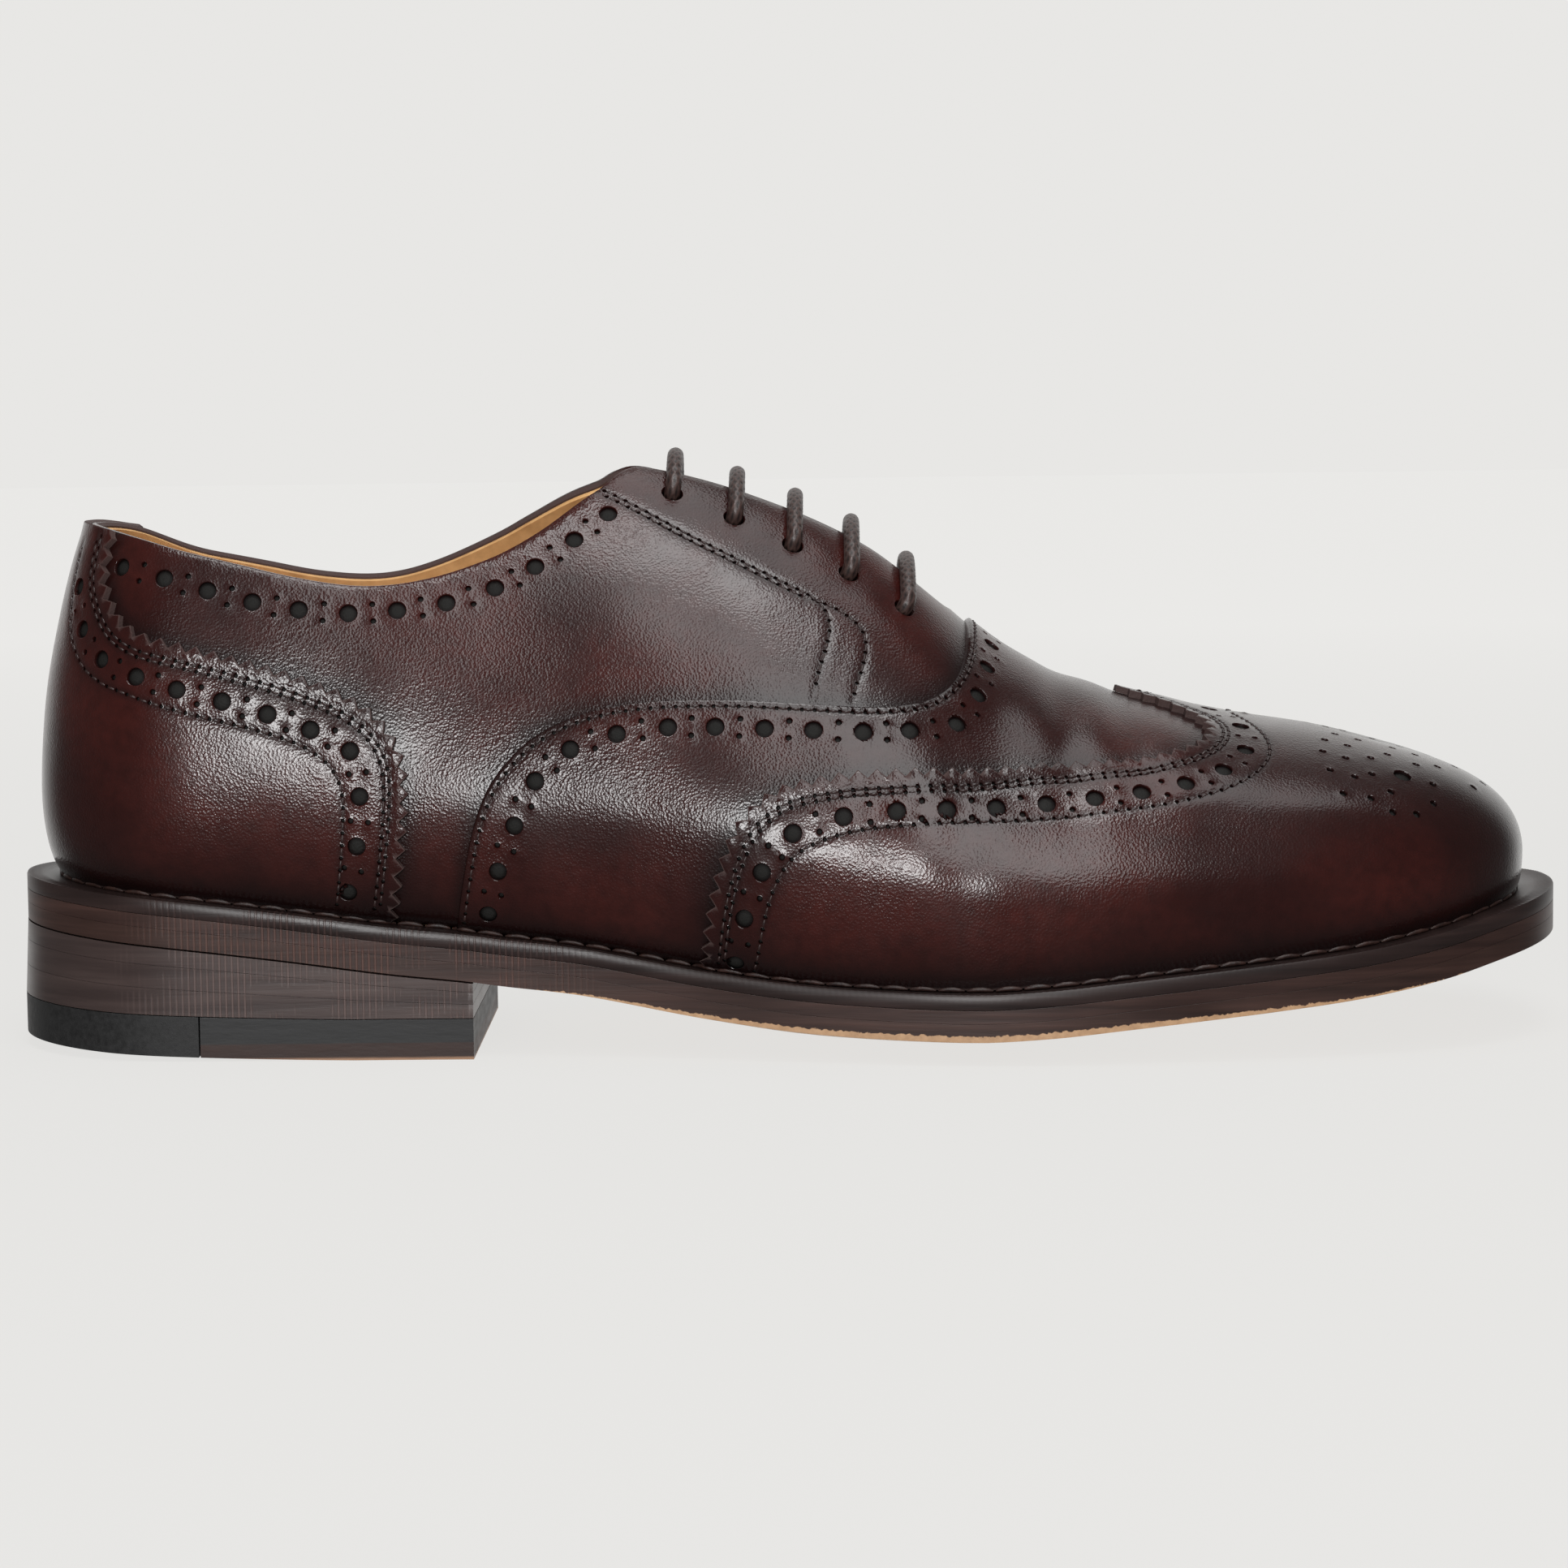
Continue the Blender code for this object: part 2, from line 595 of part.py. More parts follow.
def lattice():
    """Marks that every panel shares, so that their facets lie alike: all overlay edges, and finer round the toe."""
    toe = (TOE_MESH_FROM, ROUND - TOE_MESH_FROM)
    seams = [vamp_border(OUTLINE_STEP)]
    for line in (WING_LINE, COUNTER_LINE):
        edge = evenly(rounded(line), OUTLINE_STEP)
        seams += [edge[1:-1], mirrored(edge)[1:-1]]
    parts = (
        spread((0, toe[0] - MESH_SHIFT), MESH_RISE_SHARE, REAR_MESH),
        spread(toe, MESH_RISE_SHARE, TOE_MESH),
        spread((toe[1] + MESH_SHIFT, ROUND), MESH_RISE_SHARE, REAR_MESH),
    )
    field = np.concatenate(parts)
    field = field[clear_of(flatten(field), [flatten(seam) for seam in seams], SEAM_MARGIN)]
    return np.concatenate(seams + [field])


def inside(points, loops):
    """Which points lie inside the loops, by the even-odd rule."""
    odd = np.zeros(len(points), bool)
    for loop in loops:
        after = np.roll(loop, -1, axis=0)
        for (ax, ay), (bx, by) in zip(loop, after):
            crosses = (ay > points[:, 1]) != (by > points[:, 1])
            if crosses.any():
                reach = ax + (points[:, 1] - ay) * (bx - ax) / ((by - ay) or 1.0)
                odd ^= crosses & (points[:, 0] < reach)
    return odd


def clear_of(points, loops, distance):
    """Which points keep a distance from every loop's points."""
    near = np.concatenate(loops)
    keep = np.ones(len(points), bool)
    for i in range(0, len(points), 500):
        gap = np.linalg.norm(points[i : i + 500, None] - near[None], axis=2).min(axis=1)
        keep[i : i + 500] = gap > distance
    return keep


def triangles(loops, inner):
    """Delaunay triangles between the loops, given flat points: (all points' order is loops, then inner)."""
    flat = np.concatenate(loops + [inner]) if len(inner) else np.concatenate(loops)
    edges, start = [], 0
    for loop in loops:
        edges += [(start + i, start + (i + 1) % len(loop)) for i in range(len(loop))]
        start += len(loop)
    scale = 1000.0
    made = delaunay_2d_cdt([tuple(p * scale) for p in flat], edges, [], 0, 1e-6)
    origin = [first[0] if first else None for first in made[3]]
    corners = np.array([[origin[v] for v in face] for face in made[2]])
    middle = flat[corners].mean(axis=1)
    corners = corners[inside(middle, loops)]
    a, b, c = (flat[corners[:, k]] for k in range(3))
    area = (b[:, 0] - a[:, 0]) * (c[:, 1] - a[:, 1]) - (b[:, 1] - a[:, 1]) * (c[:, 0] - a[:, 0])
    corners[area < 0] = corners[area < 0][:, ::-1]
    return corners


def material_of(name):
    """The material of a piece, made when it is first asked for."""
    key = PIECE_MATERIAL[name.rstrip("_0123456789")]
    found = bpy.data.materials.get(key)
    if found:
        return found
    colour, roughness = MATERIALS[key]
    made = bpy.data.materials.new(key)
    made.use_nodes = True
    shader = made.node_tree.nodes["Principled BSDF"]
    shader.inputs["Base Color"].default_value = (*colour, 1.0)
    shader.inputs["Roughness"].default_value = roughness
    shader.inputs["Metallic"].default_value = 0.0
    return made


def add_object(name, points, faces):
    mesh = bpy.data.meshes.new(name)
    mesh.from_pydata([tuple(p) for p in points], [], [tuple(int(v) for v in f) for f in faces])
    mesh.validate()
    mesh.shade_smooth()
    mesh.set_sharp_from_angle(angle=math.radians(40))
    mesh.materials.append(material_of(name))
    body = bpy.data.objects.new(name, mesh)
    bpy.context.scene.collection.objects.link(body)
    return body


def closed_slab(name, top, bottom, corners):
    """A solid between two sheets with the same triangles."""
    count = len(top)
    edges = {}
    for a, b, c in corners:
        for edge in ((a, b), (b, c), (c, a)):
            edges[edge] = True
    faces = [tuple(face) for face in corners]
    faces += [(c + count, b + count, a + count) for a, b, c in corners]
    for a, b in edges:
        if (b, a) not in edges:
            faces += [(b, a, a + count), (b, a + count, b + count)]
    used = sorted({v for face in faces for v in face})
    place = {v: i for i, v in enumerate(used)}
    points = np.concatenate([top, bottom])[used]
    return add_object(name, points, [[place[v] for v in face] for face in faces])


def panel(name, loops, inner, low, high, chart=flatten):
    """A solid between two offsets of the last, cut to the loops of marks."""
    flat_loops = [chart(loop) for loop in loops]
    flat_inner = chart(inner)
    keep = inside(flat_inner, flat_loops)
    inner, flat_inner = inner[keep], flat_inner[keep]
    keep = clear_of(flat_inner, flat_loops, EDGE_MARGIN)
    inner, flat_inner = inner[keep], flat_inner[keep]
    corners = triangles(flat_loops, flat_inner)
    marks = np.concatenate(loops + [inner])
    return closed_slab(name, on_surface(marks, high)[0], on_surface(marks, low)[0], corners)


def plate(name, loops, inner, bottom, top):
    """A solid between two functions of plan points, cut to the plan loops."""
    corners = triangles(loops, inner)
    flat = np.concatenate(loops + [inner]) if len(inner) else np.concatenate(loops)
    return closed_slab(name, top(flat), bottom(flat), corners)


def tube(name, path, radius, sides=8):
    """A closed round rod along a path."""
    ahead = np.gradient(path, axis=0)
    ahead /= np.linalg.norm(ahead, axis=1, keepdims=True)
    aside = np.array([1.0, 0.0, 0.0])
    points, faces = [], []
    for centre, way in zip(path, ahead):
        aside = aside - way * (aside @ way)
        aside /= np.linalg.norm(aside)
        up = np.cross(way, aside)
        for k in range(sides):
            turn = 2 * math.pi * k / sides
            points.append(centre + radius * (math.cos(turn) * aside + math.sin(turn) * up))
    for ring in range(len(path) - 1):
        for k in range(sides):
            a, b = ring * sides + k, ring * sides + (k + 1) % sides
            faces += [(a, b, b + sides), (a, b + sides, a + sides)]
    last = (len(path) - 1) * sides
    faces += [(0, k + 1, k) for k in range(1, sides - 1)]
    faces += [(last, last + k, last + k + 1) for k in range(1, sides - 1)]
    return add_object(name, points, faces)


def plan_ring(extra):
    """Plan points round the foot at the feather plus an extra reach given by the section's reach."""
    q = section(np.arange(ROUND * OUTLINE_PER_STATION) / OUTLINE_PER_STATION)
    reach = (q["feather"] + extra(q["reach"]))[:, None] * q["way"]
    return np.stack([q["x"], q["y"]], -1) + reach


def edge_share(flat):
    """How far plan points lie from the foot's axis (0) to the sole's edge (1)."""
    marks = unflatten(flat)
    reach = (1 - marks[:, 1]) * at_station(RUNS, marks[:, 0])
    return reach / at_station(FINE["feather"] + FINE["reach"], marks[:, 0])


def level(height):
    """A sheet whose height depends on x alone."""
    return lambda flat: np.column_stack([flat, height(flat[:, 0])])


def tread(flat):
    """The outsole's lower face, domed under the forefoot and flat where it stands."""
    x = flat[:, 0]
    crown = TREAD_CROWN * along(SOLE_LINE, 3, x / LENGTH + CENTRE_SHARE)
    dome = edge_height(x) - crown * (1 - np.clip(edge_share(flat), 0, 1) ** 2)
    return np.column_stack([flat, np.maximum(dome - CONTACT_DEPTH, 0)])


def build_upper():
    opening = evenly(rounded(COLLAR_LINE), OUTLINE_STEP)
    hole = np.concatenate([opening, mirrored(raised_collar(opening))[1:-1]])
    base = feather(0, ROUND)[:-1]
    holes = [circle(mark, EYELET_RADIUS) for mark in EYELETS]
    holes += [circle((ROUND - s, r), EYELET_RADIUS) for s, r in EYELETS]
    panel("upper", [base, hole] + holes, lattice(), -WALL, 0.0)


def build_overlays():
    panel("vamp", [vamp_border(OUTLINE_STEP)], lattice(), OVERLAY_GAP, OVERLAY_GAP + OVERLAY)
    wing = evenly(rounded(WING_LINE), OUTLINE_STEP)
    base = feather(WING_LINE[0][0], ROUND - WING_LINE[0][0])
    loop = np.concatenate([base[:-1], mirrored(wing)[::-1][:-1], wing[::-1][:-1]])
    low = 2 * OVERLAY_GAP + OVERLAY
    panel("wing_cap", [loop], lattice(), low, low + OVERLAY)
    line = evenly(rounded(COUNTER_LINE), OUTLINE_STEP)
    base = feather(0, COUNTER_LINE[-1][0])
    top = evenly(rounded([(s, r - 0.003) for s, r in COLLAR_LINE[:3]]), OUTLINE_STEP)
    outer = np.concatenate([base[1:-1], line[::-1][:-1], top[::-1][:-1]])
    loop = np.concatenate([[[0.0, 0.0]], outer, [top[0]], mirrored(outer)])
    panel("heel_counter", [loop], lattice(), OVERLAY_GAP, OVERLAY_GAP + OVERLAY, unroll)


def build_tongue():
    top = -(WALL + TONGUE_GAP)
    panel("tongue", [tongue_border(OUTLINE_STEP)], lattice(), top - TONGUE_THICKNESS, top)


def lace_path(mark):
    """Centre line of one lace bar: up out of an eyelet, across the throat and down its opposite."""
    start = flatten([mark])[0]
    end = flatten([(ROUND - mark[0], mark[1])])[0]
    span = np.linalg.norm(end - start)
    profile = [(0.0, -LACE_DIP)]
    for turn in np.radians(np.arange(0, 91, 30)):
        profile.append((LACE_BEND * (1 - math.cos(turn)), LACE_CLEAR + LACE_BEND * math.sin(turn)))
    profile.append((0.3 * span, LACE_CLEAR + LACE_BEND))
    profile.append((0.5 * span, LACE_CLEAR + LACE_BEND))
    profile += [(span - run, lift) for run, lift in profile[-2::-1]]
    path = []
    for run, lift in profile:
        mark = unflatten([start + (end - start) * run / span])
        path.append(on_surface(mark, lift)[0][0])
    return np.array(path)


def ribs(first, outline):
    """Plan points across the foot every half station, clear of the outline and of each other."""
    rows = []
    for station in np.arange(first, TOE_STATION, 0.5):
        q = section(np.array([station, ROUND - station]))
        rows.append((q["x"][0], q["y"][0]))
        for side in (0, 1):
            reach = q["feather"][side] + q["reach"][side]
            for share in RIB_SHARES:
                rows.append((q["x"][side], q["y"][side]) + share * reach * q["way"][side])
    spots = np.array(rows)
    spots = spots[clear_of(spots, [outline], RIB_MARGIN) & inside(spots, [outline])]
    kept = []
    for spot in spots:
        if all(np.linalg.norm(spot - other) > RIB_APART for other in kept):
            kept.append(spot)
    return np.array(kept)


def build_sole():
    outline = plan_ring(lambda reach: reach)
    insert = plan_ring(lambda reach: -FEATHER_INSET)
    bed = plan_ring(lambda reach: -INSOLE_INSET)
    none = np.zeros((0, 2))
    welt_low = lambda x: edge_height(x) + OUTSOLE + MIDSOLE + 2 * GAP
    middle_low = lambda x: edge_height(x) + OUTSOLE + GAP
    plate("welt", [outline, insert], none, level(welt_low), level(lambda x: welt_low(x) + WELT))
    plate("midsole", [outline], none, level(middle_low), level(lambda x: middle_low(x) + MIDSOLE))
    plate("insole", [bed], none, level(welt_low), level(lambda x: seat_height(x) + INSOLE_RISE))
    plate("outsole", [outline], ribs(0, outline), tread, level(lambda x: edge_height(x) + OUTSOLE))


def build_heel():
    outline = plan_ring(lambda reach: reach)
    breast = outline[:, 0].min() + HEEL_LENGTH
    behind = outline[outline[:, 0] < breast - BREAST_CLEAR]
    behind = behind[np.argsort(np.arctan2(behind[:, 1], breast - HEEL_CENTRE - behind[:, 0]))]

    def across(x):
        """Plan points straight across the heel at x, from the inner side to the outer."""
        ends = []
        for sign in (1, -1):
            side = outline[outline[:, 1] * sign > 0]
            side = side[np.argsort(side[:, 0])]
            ends.append(np.interp(x, side[:, 0], side[:, 1]))
        share = np.linspace(0, 1, ACROSS_STEPS + 1)
        return np.stack([0 * share + x, ends[0] + share * (ends[1] - ends[0])], -1)

    loop = np.concatenate([behind, across(breast)])
    inner = ribs(0, loop)

    def floor_line(x):
        worn = np.clip((breast - HEEL_FLAT - x) / (HEEL_LENGTH - HEEL_FLAT), 0, 1)
        return HEEL_WEAR * worn**WEAR_CURVE

    def sheet(share, lift=0.0):
        """A level of the heel: share 0 is the top piece's upper face, share 1 the seat."""

        def points(flat):
            x = flat[:, 0]
            seat = sole_centre(x) - CONTACT_DEPTH - GAP
            foot = floor_line(x) + TOP_PIECE
            height = foot + share * (seat - foot) + lift
            flare = 1 + HEEL_FLARE / HEEL_LENGTH * (1 - height / HEEL_HEIGHT)
            centre = np.array([breast, 0.0])
            return np.column_stack([centre + (flat - centre) * flare[:, None], height])

        return points

    for number in range(3):
        low, high = LIFT_SHARES[number], LIFT_SHARES[number + 1]
        clearance = GAP if high < 1 else 0.0
        plate(f"heel_lift_{number + 1}", [loop], inner, sheet(low), sheet(high, -clearance))

    def ground(flat):
        points = sheet(0.0)(flat)
        points[:, 2] = floor_line(flat[:, 0])
        return points

    split = outline[:, 0].min() + RUBBER_SHARE * HEEL_LENGTH
    rear = loop[loop[:, 0] < split]
    fore = loop[loop[:, 0] > split + GAP]
    for name, part, x in (("top_piece_rubber", rear, split), ("top_piece_leather", fore, split + GAP)):
        rim = np.concatenate([part, across(x)])
        middle = rim.mean(axis=0)
        rim = rim[np.argsort(np.arctan2(rim[:, 1] - middle[1], rim[:, 0] - middle[0]))]
        plate(name, [rim], ribs(0, rim), ground, sheet(0.0, -GAP))


def main():
    for old in list(bpy.data.objects):
        bpy.data.objects.remove(old, do_unlink=True)
    build_upper()
    build_overlays()
    build_tongue()
    for number, mark in enumerate(EYELETS, start=1):
        tube(f"lace_bar_{number}", lace_path(mark), LACE_RADIUS)
    build_sole()
    build_heel()


if __name__ == "__main__":
    main()
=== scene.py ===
"""Full brogue oxford, right foot: the finish of its solids.

Metres, +X toe, -Y outer side, floor at z = 0.
"""

import math

import bpy
import numpy as np
from mathutils import Matrix, Vector, noise
from mathutils.geometry import delaunay_2d_cdt
from mathutils.kdtree import KDTree


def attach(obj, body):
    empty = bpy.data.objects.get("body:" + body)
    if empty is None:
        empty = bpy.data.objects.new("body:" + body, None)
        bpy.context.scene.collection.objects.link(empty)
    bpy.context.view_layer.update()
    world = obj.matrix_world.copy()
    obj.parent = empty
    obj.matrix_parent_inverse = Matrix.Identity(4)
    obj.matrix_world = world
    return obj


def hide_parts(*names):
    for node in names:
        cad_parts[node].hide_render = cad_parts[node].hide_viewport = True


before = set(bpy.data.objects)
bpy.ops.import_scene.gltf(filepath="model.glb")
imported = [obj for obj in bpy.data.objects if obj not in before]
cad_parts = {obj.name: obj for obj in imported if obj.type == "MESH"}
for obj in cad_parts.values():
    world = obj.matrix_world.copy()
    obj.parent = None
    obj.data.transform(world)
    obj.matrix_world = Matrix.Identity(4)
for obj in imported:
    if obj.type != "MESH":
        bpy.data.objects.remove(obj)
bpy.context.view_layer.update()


# Driving sizes
LENGTH = 0.305
BALL_WIDTH = 0.104
INSTEP_RISE = 0.0945
HEEL_HEIGHT = 0.0256
TOE_SPRING = 0.0145
TREAD_CROWN = 0.0049
HEEL_LENGTH = 0.091
CENTRE_SHARE = 0.5028
OFFSET_SHARE = 0.0083

# Thicknesses and clearances
OUTSOLE = 0.0031
MIDSOLE = 0.0021
WELT = 0.0031
GAP = 0.0003
WALL = 0.0020
OVERLAY = 0.0007
OVERLAY_GAP = 0.0005
TOP_PIECE = 0.0080
HEEL_FLARE = 0.0013
HEEL_WEAR = 0.0024
CONTACT_DEPTH = 0.0003
LACE_RADIUS = 0.0016
EYELET_RADIUS = 0.0021
INSOLE_RISE = 0.0026
STACK = OUTSOLE + MIDSOLE + WELT + 3 * GAP

# Bottom line of the sole. Columns: x as a share of LENGTH, centre height as shares of HEEL_HEIGHT
# and of TOE_SPRING, and how much of TREAD_CROWN the edge stands above the centre.
SOLE_LINE = (
    (0.00, 1.000, 0.000, 0.00),
    (0.06, 0.935, 0.000, 0.00),
    (0.12, 0.862, 0.000, 0.00),
    (0.18, 0.775, 0.000, 0.00),
    (0.25, 0.660, 0.000, 0.00),
    (0.31, 0.580, 0.000, 0.00),
    (0.37, 0.408, 0.000, 0.45),
    (0.45, 0.180, 0.000, 0.78),
    (0.52, 0.050, 0.000, 0.96),
    (0.58, 0.010, 0.000, 1.00),
    (0.62, 0.000, 0.005, 1.00),
    (0.66, 0.000, 0.050, 1.00),
    (0.71, 0.000, 0.150, 1.00),
    (0.76, 0.000, 0.250, 1.00),
    (0.81, 0.000, 0.352, 1.00),
    (0.86, 0.000, 0.472, 1.00),
    (0.91, 0.000, 0.648, 1.00),
    (0.95, 0.000, 0.834, 1.00),
    (1.00, 0.000, 1.030, 1.00),
)

# Sections of the last from the back of the heel to the toe. A section is an upright half-plane that
# starts on the ridge and points TURN degrees away from the toe, the same on both sides of the foot.
# Columns: axis x / LENGTH, turn, axis y / BALL_WIDTH, then outer and inner reach at the feather,
# outer and inner reach at the bulge (all / BALL_WIDTH), bulge rise and ridge rise above the feather
# (/ INSTEP_RISE), how far the top runs flat, how far the wall runs straight, and the welt's reach.
AXIS_X, TURN, AXIS_Y, FEATHER_OUT, FEATHER_IN, BULGE_OUT = range(6)
BULGE_IN, BULGE_RISE, RIDGE_RISE, CROWN, STEEP, REACH = range(6, 12)
SECTIONS = (
    (0.118, 180, 0.000, 0.258, 0.258, 0.291, 0.291, 0.175, 1.010, 0.60, 0.36, 0.079),
    (0.118, 151, 0.000, 0.261, 0.261, 0.294, 0.294, 0.175, 1.010, 0.60, 0.36, 0.071),
    (0.118, 123, 0.000, 0.267, 0.265, 0.299, 0.299, 0.178, 1.010, 0.60, 0.36, 0.058),
    (0.124, 100, 0.000, 0.272, 0.268, 0.307, 0.307, 0.184, 1.010, 0.60, 0.36, 0.050),
    (0.170, 90, 0.000, 0.277, 0.270, 0.314, 0.316, 0.192, 1.010, 0.60, 0.35, 0.047),
    (0.249, 90, 0.006, 0.286, 0.252, 0.330, 0.322, 0.210, 0.995, 0.57, 0.33, 0.046),
    (0.328, 90, 0.014, 0.305, 0.225, 0.356, 0.325, 0.240, 0.985, 0.53, 0.30, 0.044),
    (0.407, 90, 0.022, 0.340, 0.218, 0.394, 0.328, 0.260, 1.006, 0.50, 0.28, 0.044),
    (0.485, 90, 0.030, 0.394, 0.250, 0.438, 0.342, 0.245, 0.969, 0.50, 0.30, 0.048),
    (0.564, 90, 0.036, 0.448, 0.322, 0.476, 0.374, 0.205, 0.860, 0.50, 0.33, 0.053),
    (0.636, 90, 0.040, 0.478, 0.386, 0.497, 0.412, 0.172, 0.662, 0.52, 0.38, 0.058),
    (0.708, 90, 0.041, 0.474, 0.412, 0.492, 0.430, 0.152, 0.533, 0.56, 0.44, 0.062),
    (0.774, 88, 0.040, 0.448, 0.400, 0.465, 0.418, 0.140, 0.455, 0.60, 0.48, 0.066),
    (0.822, 79, 0.038, 0.414, 0.374, 0.430, 0.392, 0.126, 0.414, 0.62, 0.50, 0.072),
    (0.848, 60, 0.037, 0.380, 0.352, 0.395, 0.368, 0.110, 0.389, 0.62, 0.52, 0.080),
    (0.858, 39, 0.037, 0.352, 0.336, 0.366, 0.351, 0.094, 0.374, 0.60, 0.54, 0.088),
    (0.860, 19, 0.037, 0.330, 0.324, 0.343, 0.337, 0.082, 0.369, 0.58, 0.56, 0.094),
    (0.860, 0, 0.037, 0.322, 0.322, 0.334, 0.334, 0.078, 0.367, 0.58, 0.56, 0.096),
)
TOE_STATION = len(SECTIONS) - 1
ROUND = 2 * TOE_STATION
TOE_FAN = TOE_STATION - 5.5
TOE_RIDGE_SLOPE = -0.21
TUCK_HANDLES = (0.55, 0.55, 0.12)
SIDE_STEPS = 20
RISE_STEPS = 160
CURVE_STEPS = 120
FREE_RISE = 0.08

def cubic_bend(rows):
    """Second derivatives of a closed cubic spline through the rows, one station apart."""
    count = len(rows)
    weights = np.zeros((count, count))
    pull = np.zeros_like(rows)
    for i in range(count):
        before, after = (i - 1) % count, (i + 1) % count
        weights[i, before] += 1
        weights[i, i] += 4
        weights[i, after] += 1
        pull[i] = 6 * (rows[after] - 2 * rows[i] + rows[before])
    return np.linalg.solve(weights, pull)


def closed_rows():
    """The section table all the way round: outer side, toe, inner side, with turn less its mean run."""
    table = np.array(SECTIONS)
    rows = []
    for station in range(ROUND):
        outer = station <= TOE_STATION
        row = table[station if outer else ROUND - station].copy()
        if not outer:
            row[FEATHER_OUT], row[BULGE_OUT] = row[FEATHER_IN], row[BULGE_IN]
        turn = -row[TURN] if outer else row[TURN]
        row[TURN] = turn + 180.0 - 360.0 * station / ROUND
        rows.append(row)
    return np.array(rows)


ROWS = closed_rows()
BEND = cubic_bend(ROWS)


def section(station):
    """The smooth section values at each station, as a dictionary of arrays."""
    station = np.asarray(station, float)
    whole = np.floor(station).astype(int)
    part = (station - whole)[..., None]
    rest = 1 - part
    here, ahead = whole % ROUND, (whole + 1) % ROUND
    bend = ((rest**3 - rest) * BEND[here] + (part**3 - part) * BEND[ahead]) / 6
    row = rest * ROWS[here] + part * ROWS[ahead] + bend
    turn = np.radians(row[..., TURN] - 180.0 + 360.0 * station / ROUND)
    return {
        "x": (row[..., AXIS_X] - CENTRE_SHARE) * LENGTH,
        "y": (row[..., AXIS_Y] - OFFSET_SHARE) * BALL_WIDTH,
        "way": np.stack([np.cos(turn), np.sin(turn)], -1),
        "feather": row[..., FEATHER_OUT] * BALL_WIDTH,
        "bulge": row[..., BULGE_OUT] * BALL_WIDTH,
        "bulge_rise": row[..., BULGE_RISE] * INSTEP_RISE,
        "ridge_rise": row[..., RIDGE_RISE] * INSTEP_RISE,
        "crown": row[..., CROWN],
        "steep": row[..., STEEP],
        "reach": row[..., REACH] * BALL_WIDTH,
    }


def along(table, column, at):
    """A monotone smooth curve through one column of a table over its first column."""
    table = np.array(table, float)
    knots, values = table[:, 0], table[:, column]
    width = np.diff(knots)
    rate = np.diff(values) / width
    slope = np.zeros(len(knots))
    slope[0], slope[-1] = rate[0], rate[-1]
    for i in range(1, len(knots) - 1):
        if rate[i - 1] * rate[i] > 0:
            first = 2 * width[i] + width[i - 1]
            second = width[i] + 2 * width[i - 1]
            slope[i] = (first + second) / (first / rate[i - 1] + second / rate[i])
    at = np.clip(np.asarray(at, float), knots[0], knots[-1])
    i = np.clip(np.searchsorted(knots, at) - 1, 0, len(knots) - 2)
    f = (at - knots[i]) / width[i]
    start = values[i] * (1 + 2 * f) * (1 - f) ** 2 + width[i] * slope[i] * f * (1 - f) ** 2
    end = values[i + 1] * f * f * (3 - 2 * f) - width[i] * slope[i + 1] * f * f * (1 - f)
    return start + end


def sole_centre(x):
    """Height of the middle of the tread above the floor."""
    share = np.asarray(x) / LENGTH + CENTRE_SHARE
    return HEEL_HEIGHT * along(SOLE_LINE, 1, share) + TOE_SPRING * along(SOLE_LINE, 2, share)


def edge_height(x):
    """Height of the outsole's lower edge above the floor."""
    share = np.asarray(x) / LENGTH + CENTRE_SHARE
    return sole_centre(x) + TREAD_CROWN * along(SOLE_LINE, 3, share)


def seat_height(x):
    """Height at which the upper starts, just clear of the welt."""
    return edge_height(x) + STACK


def bezier(corners, share):
    """A cubic curve for each section: corners are four (count, 2) arrays."""
    a, b, c, d = (corner[:, None, :] for corner in corners)
    rest = 1 - share
    return rest**3 * a + 3 * rest**2 * share * b + 3 * rest * share**2 * c + share**3 * d


